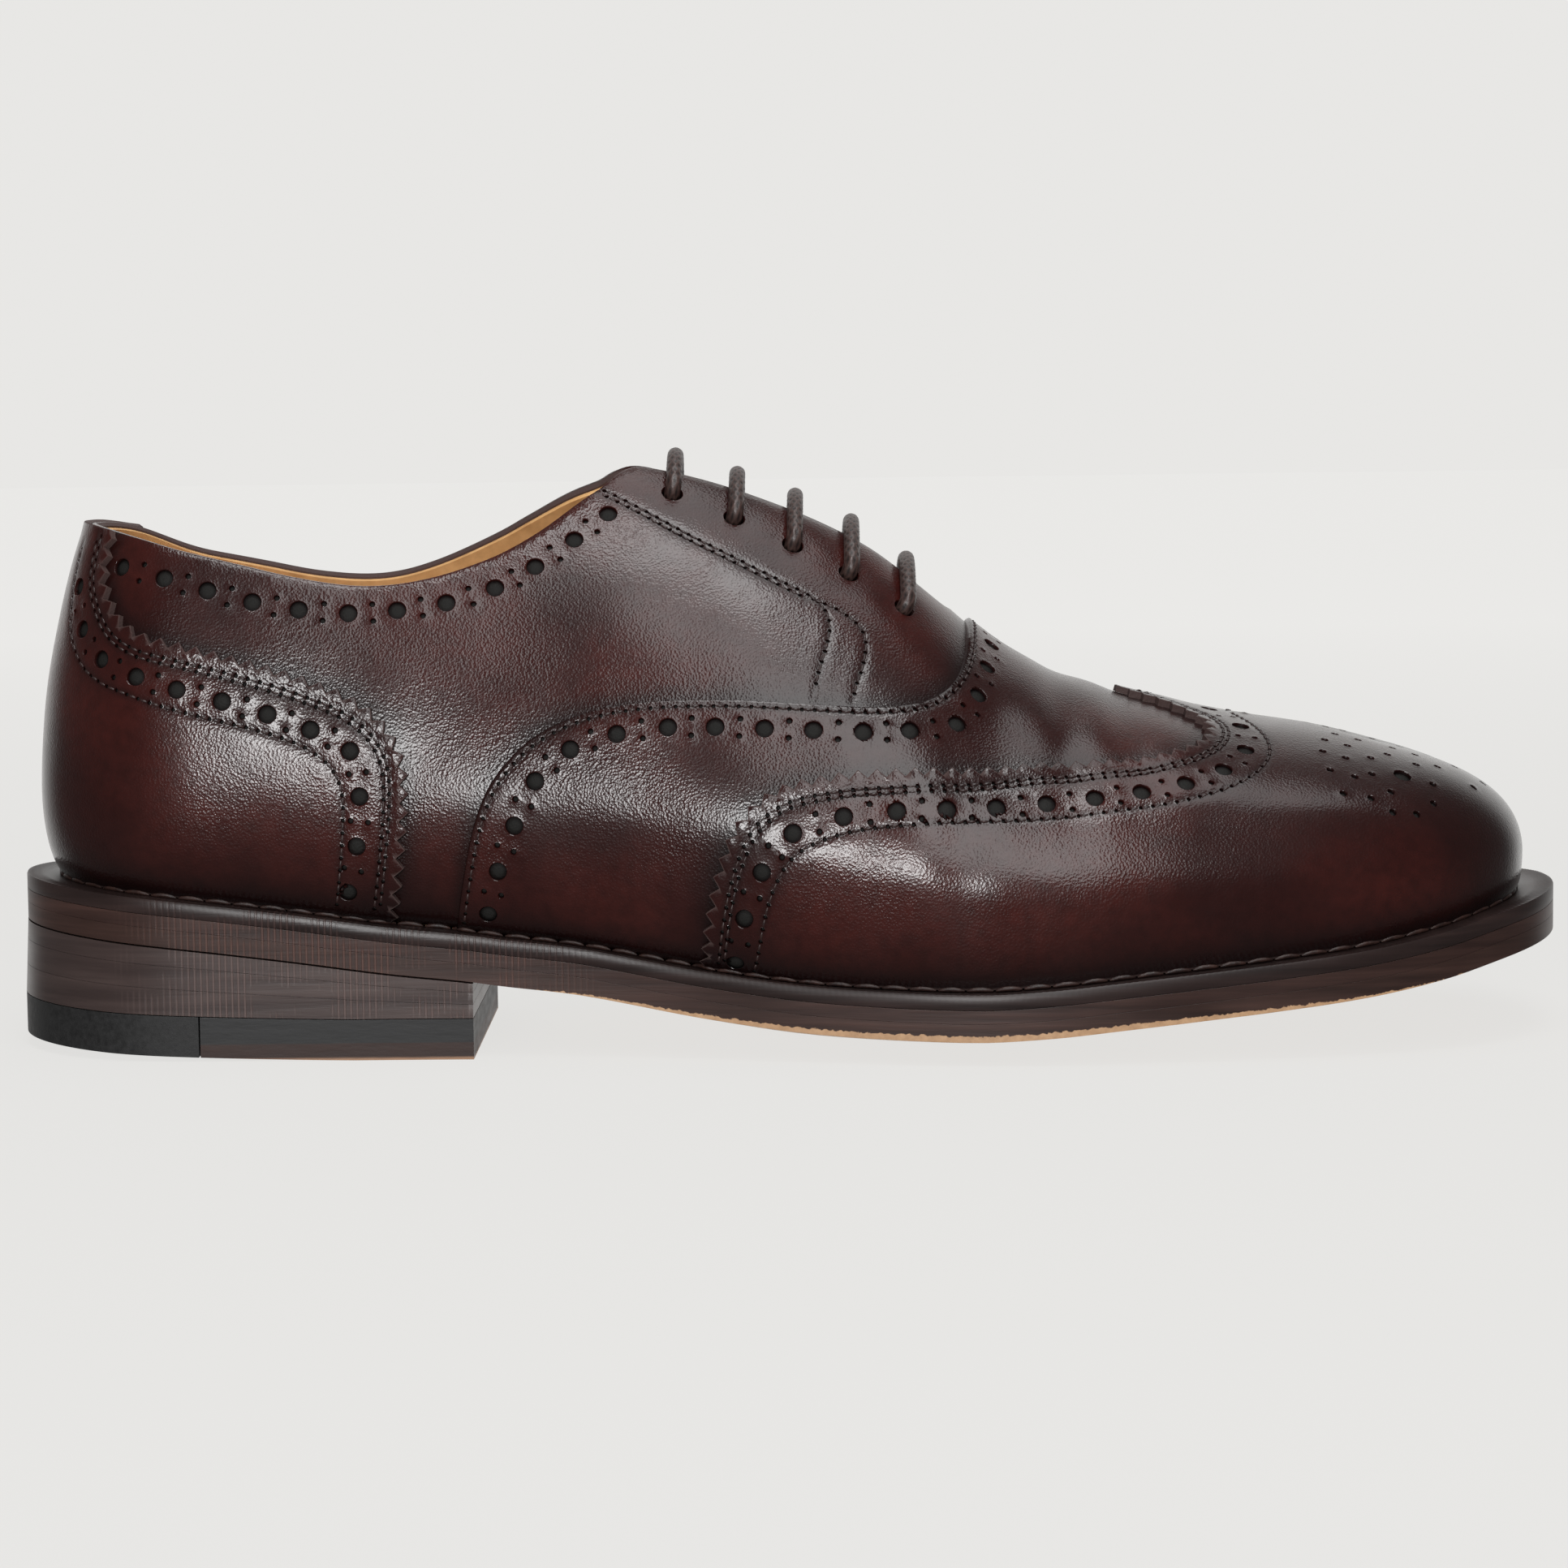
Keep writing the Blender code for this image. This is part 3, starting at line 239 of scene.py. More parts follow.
def surface_grid():
    """The last's outer surface by station and rise: points, unit normals and section lengths."""
    station = np.linspace(0, ROUND, ROUND * SIDE_STEPS + 1)
    rise = np.linspace(0, 1, RISE_STEPS + 1)
    q = section(station)
    foot_x = q["x"] + q["feather"] * q["way"][:, 0]
    low = seat_height(foot_x)
    middle = low + q["bulge_rise"]
    top = seat_height(q["x"]) + q["ridge_rise"]
    in_fan = np.abs(station - TOE_STATION) < TOE_STATION - TOE_FAN
    tilt = np.where(in_fan, TOE_RIDGE_SLOPE * q["way"][:, 0], 0.0)
    flat = q["crown"] * q["bulge"]
    ridge = np.stack([0 * top, top], -1)
    shoulder = np.stack([flat, top + tilt * flat], -1)
    wall = np.stack([q["bulge"], middle + q["steep"] * (top - middle)], -1)
    widest = np.stack([q["bulge"], middle], -1)
    drop, pull, lift = TUCK_HANDLES
    under = np.stack([q["bulge"], middle - drop * (middle - low)], -1)
    tuck_reach = q["feather"] + pull * (q["bulge"] - q["feather"])
    tuck = np.stack([tuck_reach, low + lift * (middle - low)], -1)
    foot = np.stack([q["feather"], low], -1)
    share = np.linspace(0, 1, CURVE_STEPS)[None, :, None]
    upper_part = bezier((ridge, shoulder, wall, widest), share)
    lower_part = bezier((widest, under, tuck, foot), share)
    line = np.concatenate([upper_part, lower_part[:, 1:]], 1)[:, ::-1]
    pace = np.linalg.norm(np.diff(line, axis=1), axis=2)
    walked = np.concatenate([np.zeros((len(station), 1)), np.cumsum(pace, 1)], 1)
    points = np.empty((len(station), len(rise), 3))
    for i, walk in enumerate(walked):
        at = rise * walk[-1]
        reach = np.interp(at, walk, line[i, :, 0])
        points[i, :, 0] = q["x"][i] + reach * q["way"][i, 0]
        points[i, :, 1] = q["y"][i] + reach * q["way"][i, 1]
        points[i, :, 2] = np.interp(at, walk, line[i, :, 1])
    around = np.empty_like(points)
    around[1:-1] = points[2:] - points[:-2]
    around[0] = around[-1] = points[1] - points[-2]
    up = np.gradient(points, axis=1)
    normals = np.cross(around, up)
    normals[:, -1] = normals[:, -2]
    normals /= np.linalg.norm(normals, axis=2, keepdims=True)
    normals[:, -1] += normals[::-1, -1]
    # Along the welt at the feather, so that every layer ends on it.
    probe = 0.001
    slope = (seat_height(foot_x + probe) - seat_height(foot_x - probe)) / (2 * probe)
    free = np.clip(rise / FREE_RISE, 0, 1)
    free = free * free * (3 - 2 * free)
    along_welt = slope[:, None] * normals[:, :, 0]
    normals[:, :, 2] = free * normals[:, :, 2] + (1 - free) * along_welt
    normals /= np.linalg.norm(normals, axis=2, keepdims=True)
    return points, normals, walked[:, -1]


POINTS, NORMALS, RUNS = surface_grid()
FINE = section(np.linspace(0, ROUND, ROUND * SIDE_STEPS + 1))


def at_station(values, station):
    """Linear reading of a value known at every fine station."""
    place = np.clip(np.asarray(station, float) * SIDE_STEPS, 0, len(values) - 1)
    i = np.minimum(place.astype(int), len(values) - 2)
    f = place - i
    if values.ndim > 1:
        f = f[:, None]
    return values[i] * (1 - f) + values[i + 1] * f


def flatten(mark):
    """Pattern coordinates of (station, rise) marks: the ridge laid out flat with every section beside it."""
    mark = np.atleast_2d(np.asarray(mark, float))
    station = mark[:, 0]
    reach = (1 - mark[:, 1]) * at_station(RUNS, station)
    way = at_station(FINE["way"], station)
    x = at_station(FINE["x"], station) + reach * way[:, 0]
    y = at_station(FINE["y"], station) + reach * way[:, 1]
    return np.stack([x, y], -1)


def unflatten(flat):
    """(station, rise) of pattern coordinates, found as the section whose ray meets each point."""
    flat = np.atleast_2d(np.asarray(flat, float))
    found = np.empty_like(flat)
    for start in range(0, len(flat), 2000):
        part = flat[start : start + 2000]
        dx = part[:, :1] - FINE["x"]
        dy = part[:, 1:] - FINE["y"]
        aside = dx * FINE["way"][:, 1] - dy * FINE["way"][:, 0]
        ahead = dx * FINE["way"][:, 0] + dy * FINE["way"][:, 1]
        meets = (aside[:, :-1] * aside[:, 1:] <= 0) & (ahead[:, :-1] + ahead[:, 1:] > -1e-6)
        i = np.argmax(meets, axis=1)
        lost = ~meets.any(axis=1)
        i[lost] = np.argmin(np.abs(aside[lost][:, :-1]) + 9.0 * (ahead[lost][:, :-1] < 0), axis=1)
        row = np.arange(len(part))
        first, second = aside[row, i], aside[row, i + 1]
        span = np.where(np.abs(first - second) < 1e-12, 1.0, first - second)
        f = np.clip(first / span, 0, 1)
        reach = ahead[row, i] * (1 - f) + ahead[row, i + 1] * f
        station = (i + f) / SIDE_STEPS
        found[start : start + 2000, 0] = station
        found[start : start + 2000, 1] = 1 - reach / at_station(RUNS, station)
    return found


def on_surface(mark, lift=0.0):
    """Points at (station, rise) marks, moved out by lift, and the unit normals there."""
    mark = np.atleast_2d(mark)
    s = np.clip(mark[:, 0] * SIDE_STEPS, 0, POINTS.shape[0] - 1)
    r = np.clip(mark[:, 1] * RISE_STEPS, 0, POINTS.shape[1] - 1)
    i = np.minimum(s.astype(int), POINTS.shape[0] - 2)
    j = np.minimum(r.astype(int), POINTS.shape[1] - 2)
    f, g = (s - i)[:, None], (r - j)[:, None]

    def read(grid):
        low = grid[i, j] * (1 - f) + grid[i + 1, j] * f
        high = grid[i, j + 1] * (1 - f) + grid[i + 1, j + 1] * f
        return low * (1 - g) + high * g

    normal = read(NORMALS)
    normal /= np.linalg.norm(normal, axis=1, keepdims=True)
    return read(POINTS) + lift * normal, normal


# Pattern lines on the outer side. Columns: station, rise from the feather (0) to the ridge (1).
# The inner side mirrors them, apart from the collar, which stands higher under the inner ankle.
COLLAR_LINE = (
    (0.00, 0.685),
    (0.90, 0.683),
    (1.80, 0.672),
    (2.60, 0.657),
    (3.20, 0.640),
    (3.80, 0.624),
    (4.30, 0.613),
    (4.80, 0.617),
    (5.30, 0.647),
    (5.80, 0.700),
    (6.20, 0.760),
    (6.50, 0.820),
    (6.72, 0.868),
    (6.84, 0.905),
    (6.98, 0.934),
    (7.25, 0.943),
    (8.00, 0.944),
    (8.80, 0.940),
    (9.35, 0.936),
    (9.55, 0.952),
    (9.62, 1.000),
)
VAMP_LINE = (
    (5.53, 0.000),
    (5.60, 0.100),
    (5.70, 0.205),
    (5.82, 0.275),
    (5.98, 0.327),
    (6.20, 0.374),
    (6.60, 0.420),
    (7.10, 0.452),
    (7.76, 0.478),
    (8.37, 0.496),
    (8.80, 0.512),
    (9.15, 0.541),
    (9.40, 0.585),
    (9.60, 0.660),
    (9.71, 0.761),
    (9.75, 0.880),
    (9.76, 1.000),
)
WING_LINE = (
    (7.56, 0.000),
    (7.60, 0.090),
    (7.70, 0.190),
    (7.86, 0.268),
    (8.14, 0.326),
    (8.60, 0.364),
    (9.12, 0.394),
    (9.60, 0.426),
    (10.24, 0.476),
    (10.90, 0.512),
    (11.35, 0.547),
    (11.68, 0.600),
    (11.88, 0.670),
    (11.93, 0.745),
    (11.84, 0.815),
    (11.62, 0.876),
    (11.36, 0.930),
    (11.10, 1.000),
)
COUNTER_LINE = (
    (1.80, 0.669),
    (1.80, 0.620),
    (1.84, 0.578),
    (2.00, 0.543),
    (2.30, 0.500),
    (2.70, 0.472),
    (3.20, 0.457),
    (3.84, 0.439),
    (4.40, 0.418),
    (4.75, 0.396),
    (4.98, 0.360),
    (5.11, 0.305),
    (5.13, 0.230),
    (5.09, 0.130),
    (5.01, 0.000),
)
EYELETS = ((7.29, 0.875), (7.80, 0.850), (8.27, 0.826), (8.72, 0.806), (9.18, 0.788))
INNER_COLLAR_RISE = (
    (1.6, 0.0),
    (2.9, -0.0018),
    (4.2, -0.0009),
    (4.8, 0.0009),
    (5.4, 0.0038),
    (6.1, 0.0060),
    (6.4, 0.0063),
    (7.05, 0.0),
)
INNER_COLLAR_BLEND = 0.3
VAMP_UNDERLAP = 0.012
TONGUE_TOP, TONGUE_FOOT = 6.98, 10.10
TONGUE_HALF_WIDTH = 0.024
TONGUE_CORNER = 0.012
TONGUE_TAPER = 0.14
TONGUE_ARCH = 0.0015
TONGUE_THICKNESS = 0.0016
TONGUE_GAP = 0.0009
REAR_MESH, TOE_MESH = 0.0130, 0.0085
TOE_MESH_FROM = 10.8
OUTLINE_STEP = 0.0055
MESH_SHIFT = 0.3
MESH_RISE_SHARE = (0.055, 0.982)
SEAM_MARGIN = 0.0045
LINE_STEPS = 12
WAIST_RISE = 0.4
RUBBER_SHARE = 0.423
LIFT_SHARES = (0.0, 0.40, 0.745, 1.0)
HEEL_FLAT = 0.022
WEAR_CURVE = 1.3
INSOLE_INSET = 0.0031


def rounded(line):
    """A Catmull-Rom curve through a pattern line, as many marks."""
    line = np.array(line, float)
    flat = flatten(line)
    knots = np.concatenate([[0], np.cumsum(np.sqrt(np.linalg.norm(np.diff(flat, axis=0), axis=1)))])
    slope = np.gradient(line, knots, axis=0)
    marks = []
    for i in range(len(line) - 1):
        span = knots[i + 1] - knots[i]
        for f in np.arange(LINE_STEPS) / LINE_STEPS:
            start = (1 + 2 * f) * (1 - f) ** 2 * line[i] + f * (1 - f) ** 2 * span * slope[i]
            end = f * f * (3 - 2 * f) * line[i + 1] - f * f * (1 - f) * span * slope[i + 1]
            marks.append(start + end)
    marks.append(line[-1])
    return np.array(marks)


def evenly(marks, step):
    """Marks spaced about one step apart over the surface, both ends kept."""
    points = on_surface(marks)[0]
    walked = np.concatenate([[0], np.cumsum(np.linalg.norm(np.diff(points, axis=0), axis=1))])
    at = np.linspace(0, walked[-1], max(2, int(round(walked[-1] / step))) + 1)
    return np.stack([np.interp(at, walked, marks[:, 0]), np.interp(at, walked, marks[:, 1])], -1)


def mirrored(marks):
    """The same marks on the inner side, in reverse order."""
    return np.stack([ROUND - marks[::-1, 0], marks[::-1, 1]], -1)


def raised_collar(marks):
    """Marks along the outer collar, moved into the opening by as much as the inner one is."""
    stations, rises = np.array(INNER_COLLAR_RISE).T
    blend = np.linspace(-INNER_COLLAR_BLEND, INNER_COLLAR_BLEND, 9)
    lift = np.mean([np.interp(marks[:, 0] + step, stations, rises) for step in blend], axis=0)
    flat = flatten(marks)
    ahead = np.gradient(flat, axis=0)
    ahead /= np.linalg.norm(ahead, axis=1, keepdims=True)
    return unflatten(flat + lift[:, None] * np.stack([-ahead[:, 1], ahead[:, 0]], -1))


def feather(first, last, step=OUTLINE_STEP):
    """Marks along the feather between two stations."""
    stations = np.linspace(first, last, 400)
    return evenly(np.stack([stations, 0 * stations], -1), step)


def unroll(mark):
    """Side pattern: distance round the foot from the back of the heel, and height up the section."""
    mark = np.atleast_2d(mark)
    station = np.where(mark[:, 0] > TOE_STATION, mark[:, 0] - ROUND, mark[:, 0])
    waist = POINTS[:, int(WAIST_RISE * RISE_STEPS)]
    walked = np.concatenate([[0], np.cumsum(np.linalg.norm(np.diff(waist, axis=0), axis=1))])
    side = np.sign(station) * at_station(walked, np.abs(station))
    return np.stack([side, mark[:, 1] * at_station(RUNS, np.abs(station))], -1)


def vamp_border(step):
    """Marks round the vamp: its rear edge, the feather, and a front edge that ends under the wing cap."""
    rear = evenly(rounded(VAMP_LINE), step)
    front = unflatten(flatten(rounded(WING_LINE)) + [VAMP_UNDERLAP, 0.0])
    front = front[(front[:, 1] > 0) & (front[:, 0] < TOE_STATION)]
    front = np.concatenate([[[front[0, 0], 0.0]], front, [[front[-1, 0], 1.0]]])
    front = evenly(front, step)
    base = feather(rear[0, 0], front[0, 0], step)
    side = np.concatenate([base[:-1], front])
    return np.concatenate([side, mirrored(side)[1:-1], mirrored(rear)[::-1], rear[::-1][1:-1]])


def tongue_border(step):
    """Marks round the tongue: a slightly arched top with round corners, and sides that taper to the foot."""
    back, front = flatten([(TONGUE_TOP, 1.0), (TONGUE_FOOT, 1.0)])
    length = front[0] - back[0]
    turn = np.linspace(0, math.pi / 2, max(4, int(TONGUE_CORNER * math.pi / 2 / step)))
    corner_run = TONGUE_CORNER * (1 - np.cos(turn))
    corner_width = TONGUE_HALF_WIDTH - TONGUE_CORNER * (1 - np.sin(turn))
    share = np.linspace(0, 1, int(length / step))[1:]
    side_run = TONGUE_CORNER + share * (length - TONGUE_CORNER)
    side_width = TONGUE_HALF_WIDTH * (1 - TONGUE_TAPER * share**2)
    run = np.concatenate([corner_run, side_run])
    width = np.concatenate([corner_width, side_width])
    centre = back[1] + (front[1] - back[1]) * run / length
    outer = np.stack([back[0] + run, centre - width], -1)
    inner = np.stack([back[0] + run, centre + width], -1)[::-1]
    across = np.linspace(-1, 1, int(2 * width[-1] / step))[1:-1]
    foot = np.stack([front[0] + TONGUE_ARCH * (1 - across**2), front[1] + across * width[-1]], -1)
    across = np.linspace(1, -1, int(2 * width[0] / step))[1:-1]
    top = np.stack([back[0] - TONGUE_ARCH * (1 - across**2), back[1] + across * width[0]], -1)
    return unflatten(np.concatenate([outer, foot, inner, top]))


def spread(stations, rises, step):
    """Marks about one step apart over the surface between the given stations and rises."""
    height = POINTS.shape[1] - 1
    rows = int((rises[1] - rises[0]) * RUNS.mean() / step)
    marks = []
    for row, rise in enumerate(np.linspace(*rises, rows + 1)):
        level = POINTS[:, int(rise * height)]
        walked = np.concatenate([[0], np.cumsum(np.linalg.norm(np.diff(level, axis=0), axis=1))])
        first, last = (at_station(walked, [s])[0] for s in stations)
        count = int((last - first) / step)
        if count < 1:
            continue
        at = first + (np.arange(count) + 0.5 * (row % 2)) * (last - first) / count
        station = np.interp(at, walked, np.linspace(0, ROUND, len(walked)))
        marks.append(np.stack([station, 0 * station + rise], -1))
    return np.concatenate(marks)


def lattice():
    """Marks over the whole upper: overlay edges, and a field between them that is finer at the toe."""
    toe = (TOE_MESH_FROM, ROUND - TOE_MESH_FROM)
    seams = [vamp_border(OUTLINE_STEP)]
    for line in (WING_LINE, COUNTER_LINE):
        edge = evenly(rounded(line), OUTLINE_STEP)
        seams += [edge[1:-1], mirrored(edge)[1:-1]]
    parts = (
        spread((0, toe[0] - MESH_SHIFT), MESH_RISE_SHARE, REAR_MESH),
        spread(toe, MESH_RISE_SHARE, TOE_MESH),
        spread((toe[1] + MESH_SHIFT, ROUND), MESH_RISE_SHARE, REAR_MESH),
    )
    field = np.concatenate(parts)
    field = field[clear_of(flatten(field), [flatten(seam) for seam in seams], SEAM_MARGIN)]
    return np.concatenate(seams + [field])


def inside(points, loops):
    """Which points lie inside the loops, by the even-odd rule."""
    odd = np.zeros(len(points), bool)
    for loop in loops:
        after = np.roll(loop, -1, axis=0)
        for (ax, ay), (bx, by) in zip(loop, after):
            crosses = (ay > points[:, 1]) != (by > points[:, 1])
            if crosses.any():
                reach = ax + (points[:, 1] - ay) * (bx - ax) / ((by - ay) or 1.0)
                odd ^= crosses & (points[:, 0] < reach)
    return odd


def clear_of(points, loops, distance):
    """Which points keep a distance from every loop's points."""
    near = np.concatenate(loops)
    keep = np.ones(len(points), bool)
    for i in range(0, len(points), 500):
        gap = np.linalg.norm(points[i : i + 500, None] - near[None], axis=2).min(axis=1)
        keep[i : i + 500] = gap > distance
    return keep


def triangles(loops, inner):
    """Delaunay triangles between the loops, given flat points: (all points' order is loops, then inner)."""
    flat = np.concatenate(loops + [inner]) if len(inner) else np.concatenate(loops)
    edges, start = [], 0
    for loop in loops:
        edges += [(start + i, start + (i + 1) % len(loop)) for i in range(len(loop))]
        start += len(loop)
    scale = 1000.0
    made = delaunay_2d_cdt([tuple(p * scale) for p in flat], edges, [], 0, 1e-6)
    origin = [first[0] if first else None for first in made[3]]
    corners = np.array([[origin[v] for v in face] for face in made[2]])
    middle = flat[corners].mean(axis=1)
    corners = corners[inside(middle, loops)]
    a, b, c = (flat[corners[:, k]] for k in range(3))
    area = (b[:, 0] - a[:, 0]) * (c[:, 1] - a[:, 1]) - (b[:, 1] - a[:, 1]) * (c[:, 0] - a[:, 0])
    corners[area < 0] = corners[area < 0][:, ::-1]
    return corners


def edge_share(flat):
    """How far plan points lie from the foot's axis (0) to the sole's edge (1)."""
    marks = unflatten(flat)
    reach = (1 - marks[:, 1]) * at_station(RUNS, marks[:, 0])
    return reach / at_station(FINE["feather"] + FINE["reach"], marks[:, 0])


def level(height):
    """A sheet whose height depends on x alone."""
    return lambda flat: np.column_stack([flat, height(flat[:, 0])])


def tread(flat):
    """The outsole's lower face, domed under the forefoot and flat where it stands."""
    x = flat[:, 0]
    crown = TREAD_CROWN * along(SOLE_LINE, 3, x / LENGTH + CENTRE_SHARE)
    dome = edge_height(x) - crown * (1 - np.clip(edge_share(flat), 0, 1) ** 2)
    return np.column_stack([flat, np.maximum(dome - CONTACT_DEPTH, 0)])


# Rows of holes and seams on the outer side, as (station, rise). The inner side mirrors them.
VAMP_HOLES = (
    (5.80, 0.047),
    (5.89, 0.130),
    (6.03, 0.214),
    (6.20, 0.294),
    (6.48, 0.353),
    (6.85, 0.388),
    (7.26, 0.412),
    (7.64, 0.425),
    (8.03, 0.436),
    (8.41, 0.448),
    (8.80, 0.462),
    (9.18, 0.489),
    (9.59, 0.544),
    (9.79, 0.645),
    (9.89, 0.756),
    (9.95, 0.879),
    (9.97, 1.000),
)
WING_HOLES = (
    (7.80, 0.025),
    (7.87, 0.110),
    (8.01, 0.192),
    (8.25, 0.262),
    (8.64, 0.300),
    (9.06, 0.324),
    (9.48, 0.346),
    (9.91, 0.370),
    (10.35, 0.392),
    (10.77, 0.411),
    (11.18, 0.432),
    (11.58, 0.463),
    (11.95, 0.520),
    (12.22, 0.620),
    (12.27, 0.777),
    (12.03, 0.948),
)
WING_SEAM = (
    (7.94, 0.000),
    (8.07, 0.146),
    (8.25, 0.222),
    (8.60, 0.268),
    (9.26, 0.308),
    (9.80, 0.337),
    (10.53, 0.363),
    (11.00, 0.381),
    (11.40, 0.400),
    (11.74, 0.428),
    (12.04, 0.466),
    (12.28, 0.520),
    (12.45, 0.597),
    (12.50, 0.690),
    (12.45, 0.791),
    (12.34, 0.900),
    (12.26, 1.000),
)
COUNTER_HOLES = (
    (1.26, 0.558),
    (1.58, 0.480),
    (2.08, 0.428),
    (2.69, 0.401),
    (3.21, 0.383),
    (3.67, 0.369),
    (4.07, 0.355),
    (4.42, 0.338),
    (4.73, 0.311),
    (4.80, 0.233),
    (4.77, 0.144),
    (4.69, 0.058),
)
COUNTER_SEAM = (
    (0.98, 0.640),
    (1.04, 0.560),
    (1.21, 0.488),
    (1.41, 0.448),
    (1.72, 0.410),
    (2.13, 0.384),
    (2.55, 0.369),
    (2.92, 0.355),
    (3.54, 0.336),
    (4.05, 0.322),
    (4.39, 0.304),
    (4.58, 0.276),
    (4.66, 0.238),
    (4.66, 0.158),
    (4.58, 0.000),
)
COLLAR_HOLES = (
    (2.18, 0.602),
    (2.98, 0.585),
    (3.50, 0.568),
    (3.93, 0.555),
    (4.32, 0.552),
    (4.71, 0.560),
    (5.09, 0.579),
    (5.48, 0.604),
    (5.87, 0.643),
    (6.19, 0.688),
    (6.50, 0.744),
    (6.77, 0.802),
)
FACING_SEAM = (
    (6.68, 0.853),
    (7.04, 0.815),
    (7.41, 0.780),
    (7.88, 0.745),
    (8.21, 0.723),
    (8.41, 0.709),
    (8.50, 0.690),
    (8.53, 0.658),
    (8.49, 0.608),
    (8.43, 0.556),
    (8.39, 0.506),
)
FACING_BRANCH = (
    (8.38, 0.712),
    (8.67, 0.700),
    (8.80, 0.680),
    (8.84, 0.654),
    (8.81, 0.597),
    (8.75, 0.551),
    (8.73, 0.520),
)
# Toe medallion on the flattened pattern, in metres from the end of the ridge: ahead, aside.
MEDALLION = (
    (-0.0018, 0.0014),
    (-0.0014, 0.0110),
    (0.0021, 0.0040),
    (-0.0042, 0.0172),
    (0.0030, 0.0120),
    (0.0081, 0.0035),
    (-0.0054, 0.0238),
    (0.0001, 0.0184),
    (-0.0011, 0.0252),
    (0.0041, 0.0229),
    (0.0079, 0.0188),
    (0.0099, 0.0116),
    (0.0133, 0.0000),
    (0.0143, 0.0126),
    (0.0133, 0.0208),
    (0.0189, 0.0000),
    (0.0180, 0.0177),
    (0.0229, 0.0093),
    (-0.0048, 0.0311),
    (-0.0001, 0.0320),
    (0.0035, 0.0298),
    (0.0159, 0.0275),
    (-0.0029, 0.0377),
    (0.0026, 0.0374),
    (0.0069, 0.0342),
    (0.0156, 0.0335),
    (0.0069, 0.0394),
    (0.0119, 0.0379),
    (0.0251, 0.0205),
    (0.0285, 0.0117),
)
MEDALLION_LARGE = ((0.0098, 0.0276),)

# Finish of the leather sheets
SHEET_STEP = 0.00140
BORDER_STEP = 0.00080
LARGE_HOLE = 0.00175
SMALL_HOLE = 0.00058
DOT_HOLE = 0.00075
PAIR_SPREAD = 0.00168
HOLE_DEPTH = 0.00070
NEEDLE_HOLE = 0.00040
NEEDLE_DEPTH = 0.00050
STITCH_PITCH = 0.00240
STITCH_LENGTH = 0.00175
STITCH_RADIUS = 0.00030
GROOVE_DEPTH = 0.00012
# Reach of the painted shade above the welt, and the stations from the toe over which the toe darkens, partly
# with real burnish and partly with painted shade
FOOT_SHADE_REACH = 0.0075
TOE_BURNISH_AND_SHADE = (0.9, 4.2)
# Depth of the painted shade above the welt, of the darkening at the toe (real burnish and painted shade) and
# of the painted shade beside an overlay's edge, and the reach of the darkening at a cut edge
FOOT_SHADE, TOE_BURN_AND_SHADE, OVERLAY_SHADE = 0.97, 0.9, 0.8
EDGE_DARKENING_REACH = 0.0018
# The leather swells ahead of a crease, at this many of its reaches and by this share of its depth
SWELL_AT, SWELL_SHARE = 2.1, 0.6
GROOVE_HALF = 0.00062
TOOTH_PITCH = 0.00350
TOOTH_OUT, TOOTH_IN = 0.00045, -0.00125
TOOTH_CURL = 0.00040
VAMP_SEAM_INSET = 0.0014
PINKED_SEAMS = (0.0024, 0.0035)
FACING_PAIR = 0.00055
EDGE_ROUND = {"folded": 0.0007, "cut": 0.00028, "collar": 0.0009}
# How much darker each kind of sheet edge is.
EDGE_DARKENING = {"cut": 0.2, "folded": 0.7, "collar": 0.05}
STRIDE = 0.0010
SIDE_PROBE = 0.0002
LINING = 0.0008
LINING_DROP = 0.0008


def chart_moves(flat):
    """For each chart point, the (2, 3) matrix that turns a small move in space into one on the chart."""
    rates = []
    for step in ((SIDE_PROBE, 0.0), (0.0, SIDE_PROBE)):
        ahead = on_surface(unflatten(flat + step))[0]
        behind = on_surface(unflatten(flat - step))[0]
        rates.append((ahead - behind) / (2 * SIDE_PROBE))
    return np.linalg.pinv(np.stack(rates, -1))


def shift(marks, moves):
    """Marks moved over the surface by small moves in space."""
    flat = flatten(marks)
    return unflatten(flat + np.einsum("nij,nj->ni", chart_moves(flat), moves))


def headings(marks, closed=False):
    """Points, unit normals, and unit directions ahead and to the left along a line of marks."""
    points, normals = on_surface(marks)
    if closed:
        ahead = np.roll(points, -1, axis=0) - np.roll(points, 1, axis=0)
    else:
        ahead = np.gradient(points, axis=0)
    ahead /= np.linalg.norm(ahead, axis=1, keepdims=True) + 1e-12
    left = np.cross(normals, ahead)
    left /= np.linalg.norm(left, axis=1, keepdims=True) + 1e-12
    return points, normals, ahead, left


def parallel(marks, distance):
    """The line a distance to the left of an outer side line, ending on the ridge and the feather."""
    marks = evenly(marks, STRIDE)
    strides = max(1, int(math.ceil(abs(distance) / STRIDE)))
    for _ in range(strides):
        marks = shift(marks, headings(marks)[3] * distance / strides)
        marks = marks[(marks[:, 1] >= 0.001) & (marks[:, 0] <= TOE_STATION)]
    if abs(1 - marks[-1, 1]) < 0.08:
        marks = np.concatenate([marks, [[marks[-1, 0], 1.0]]])
    return evenly(marks, STRIDE)


def walked(marks):
    """Distance over the surface from the first mark to each."""
    points = on_surface(marks)[0]
    return np.concatenate([[0], np.cumsum(np.linalg.norm(np.diff(points, axis=0), axis=1))])


def at_distance(marks, distances):
    """Marks at distances along a line of marks."""
    run = walked(marks)
    return np.stack([np.interp(distances, run, marks[:, k]) for k in (0, 1)], -1)


def both_sides(marks):
    """Marks and their mirror on the inner side."""
    return np.concatenate([marks, mirrored(marks)])


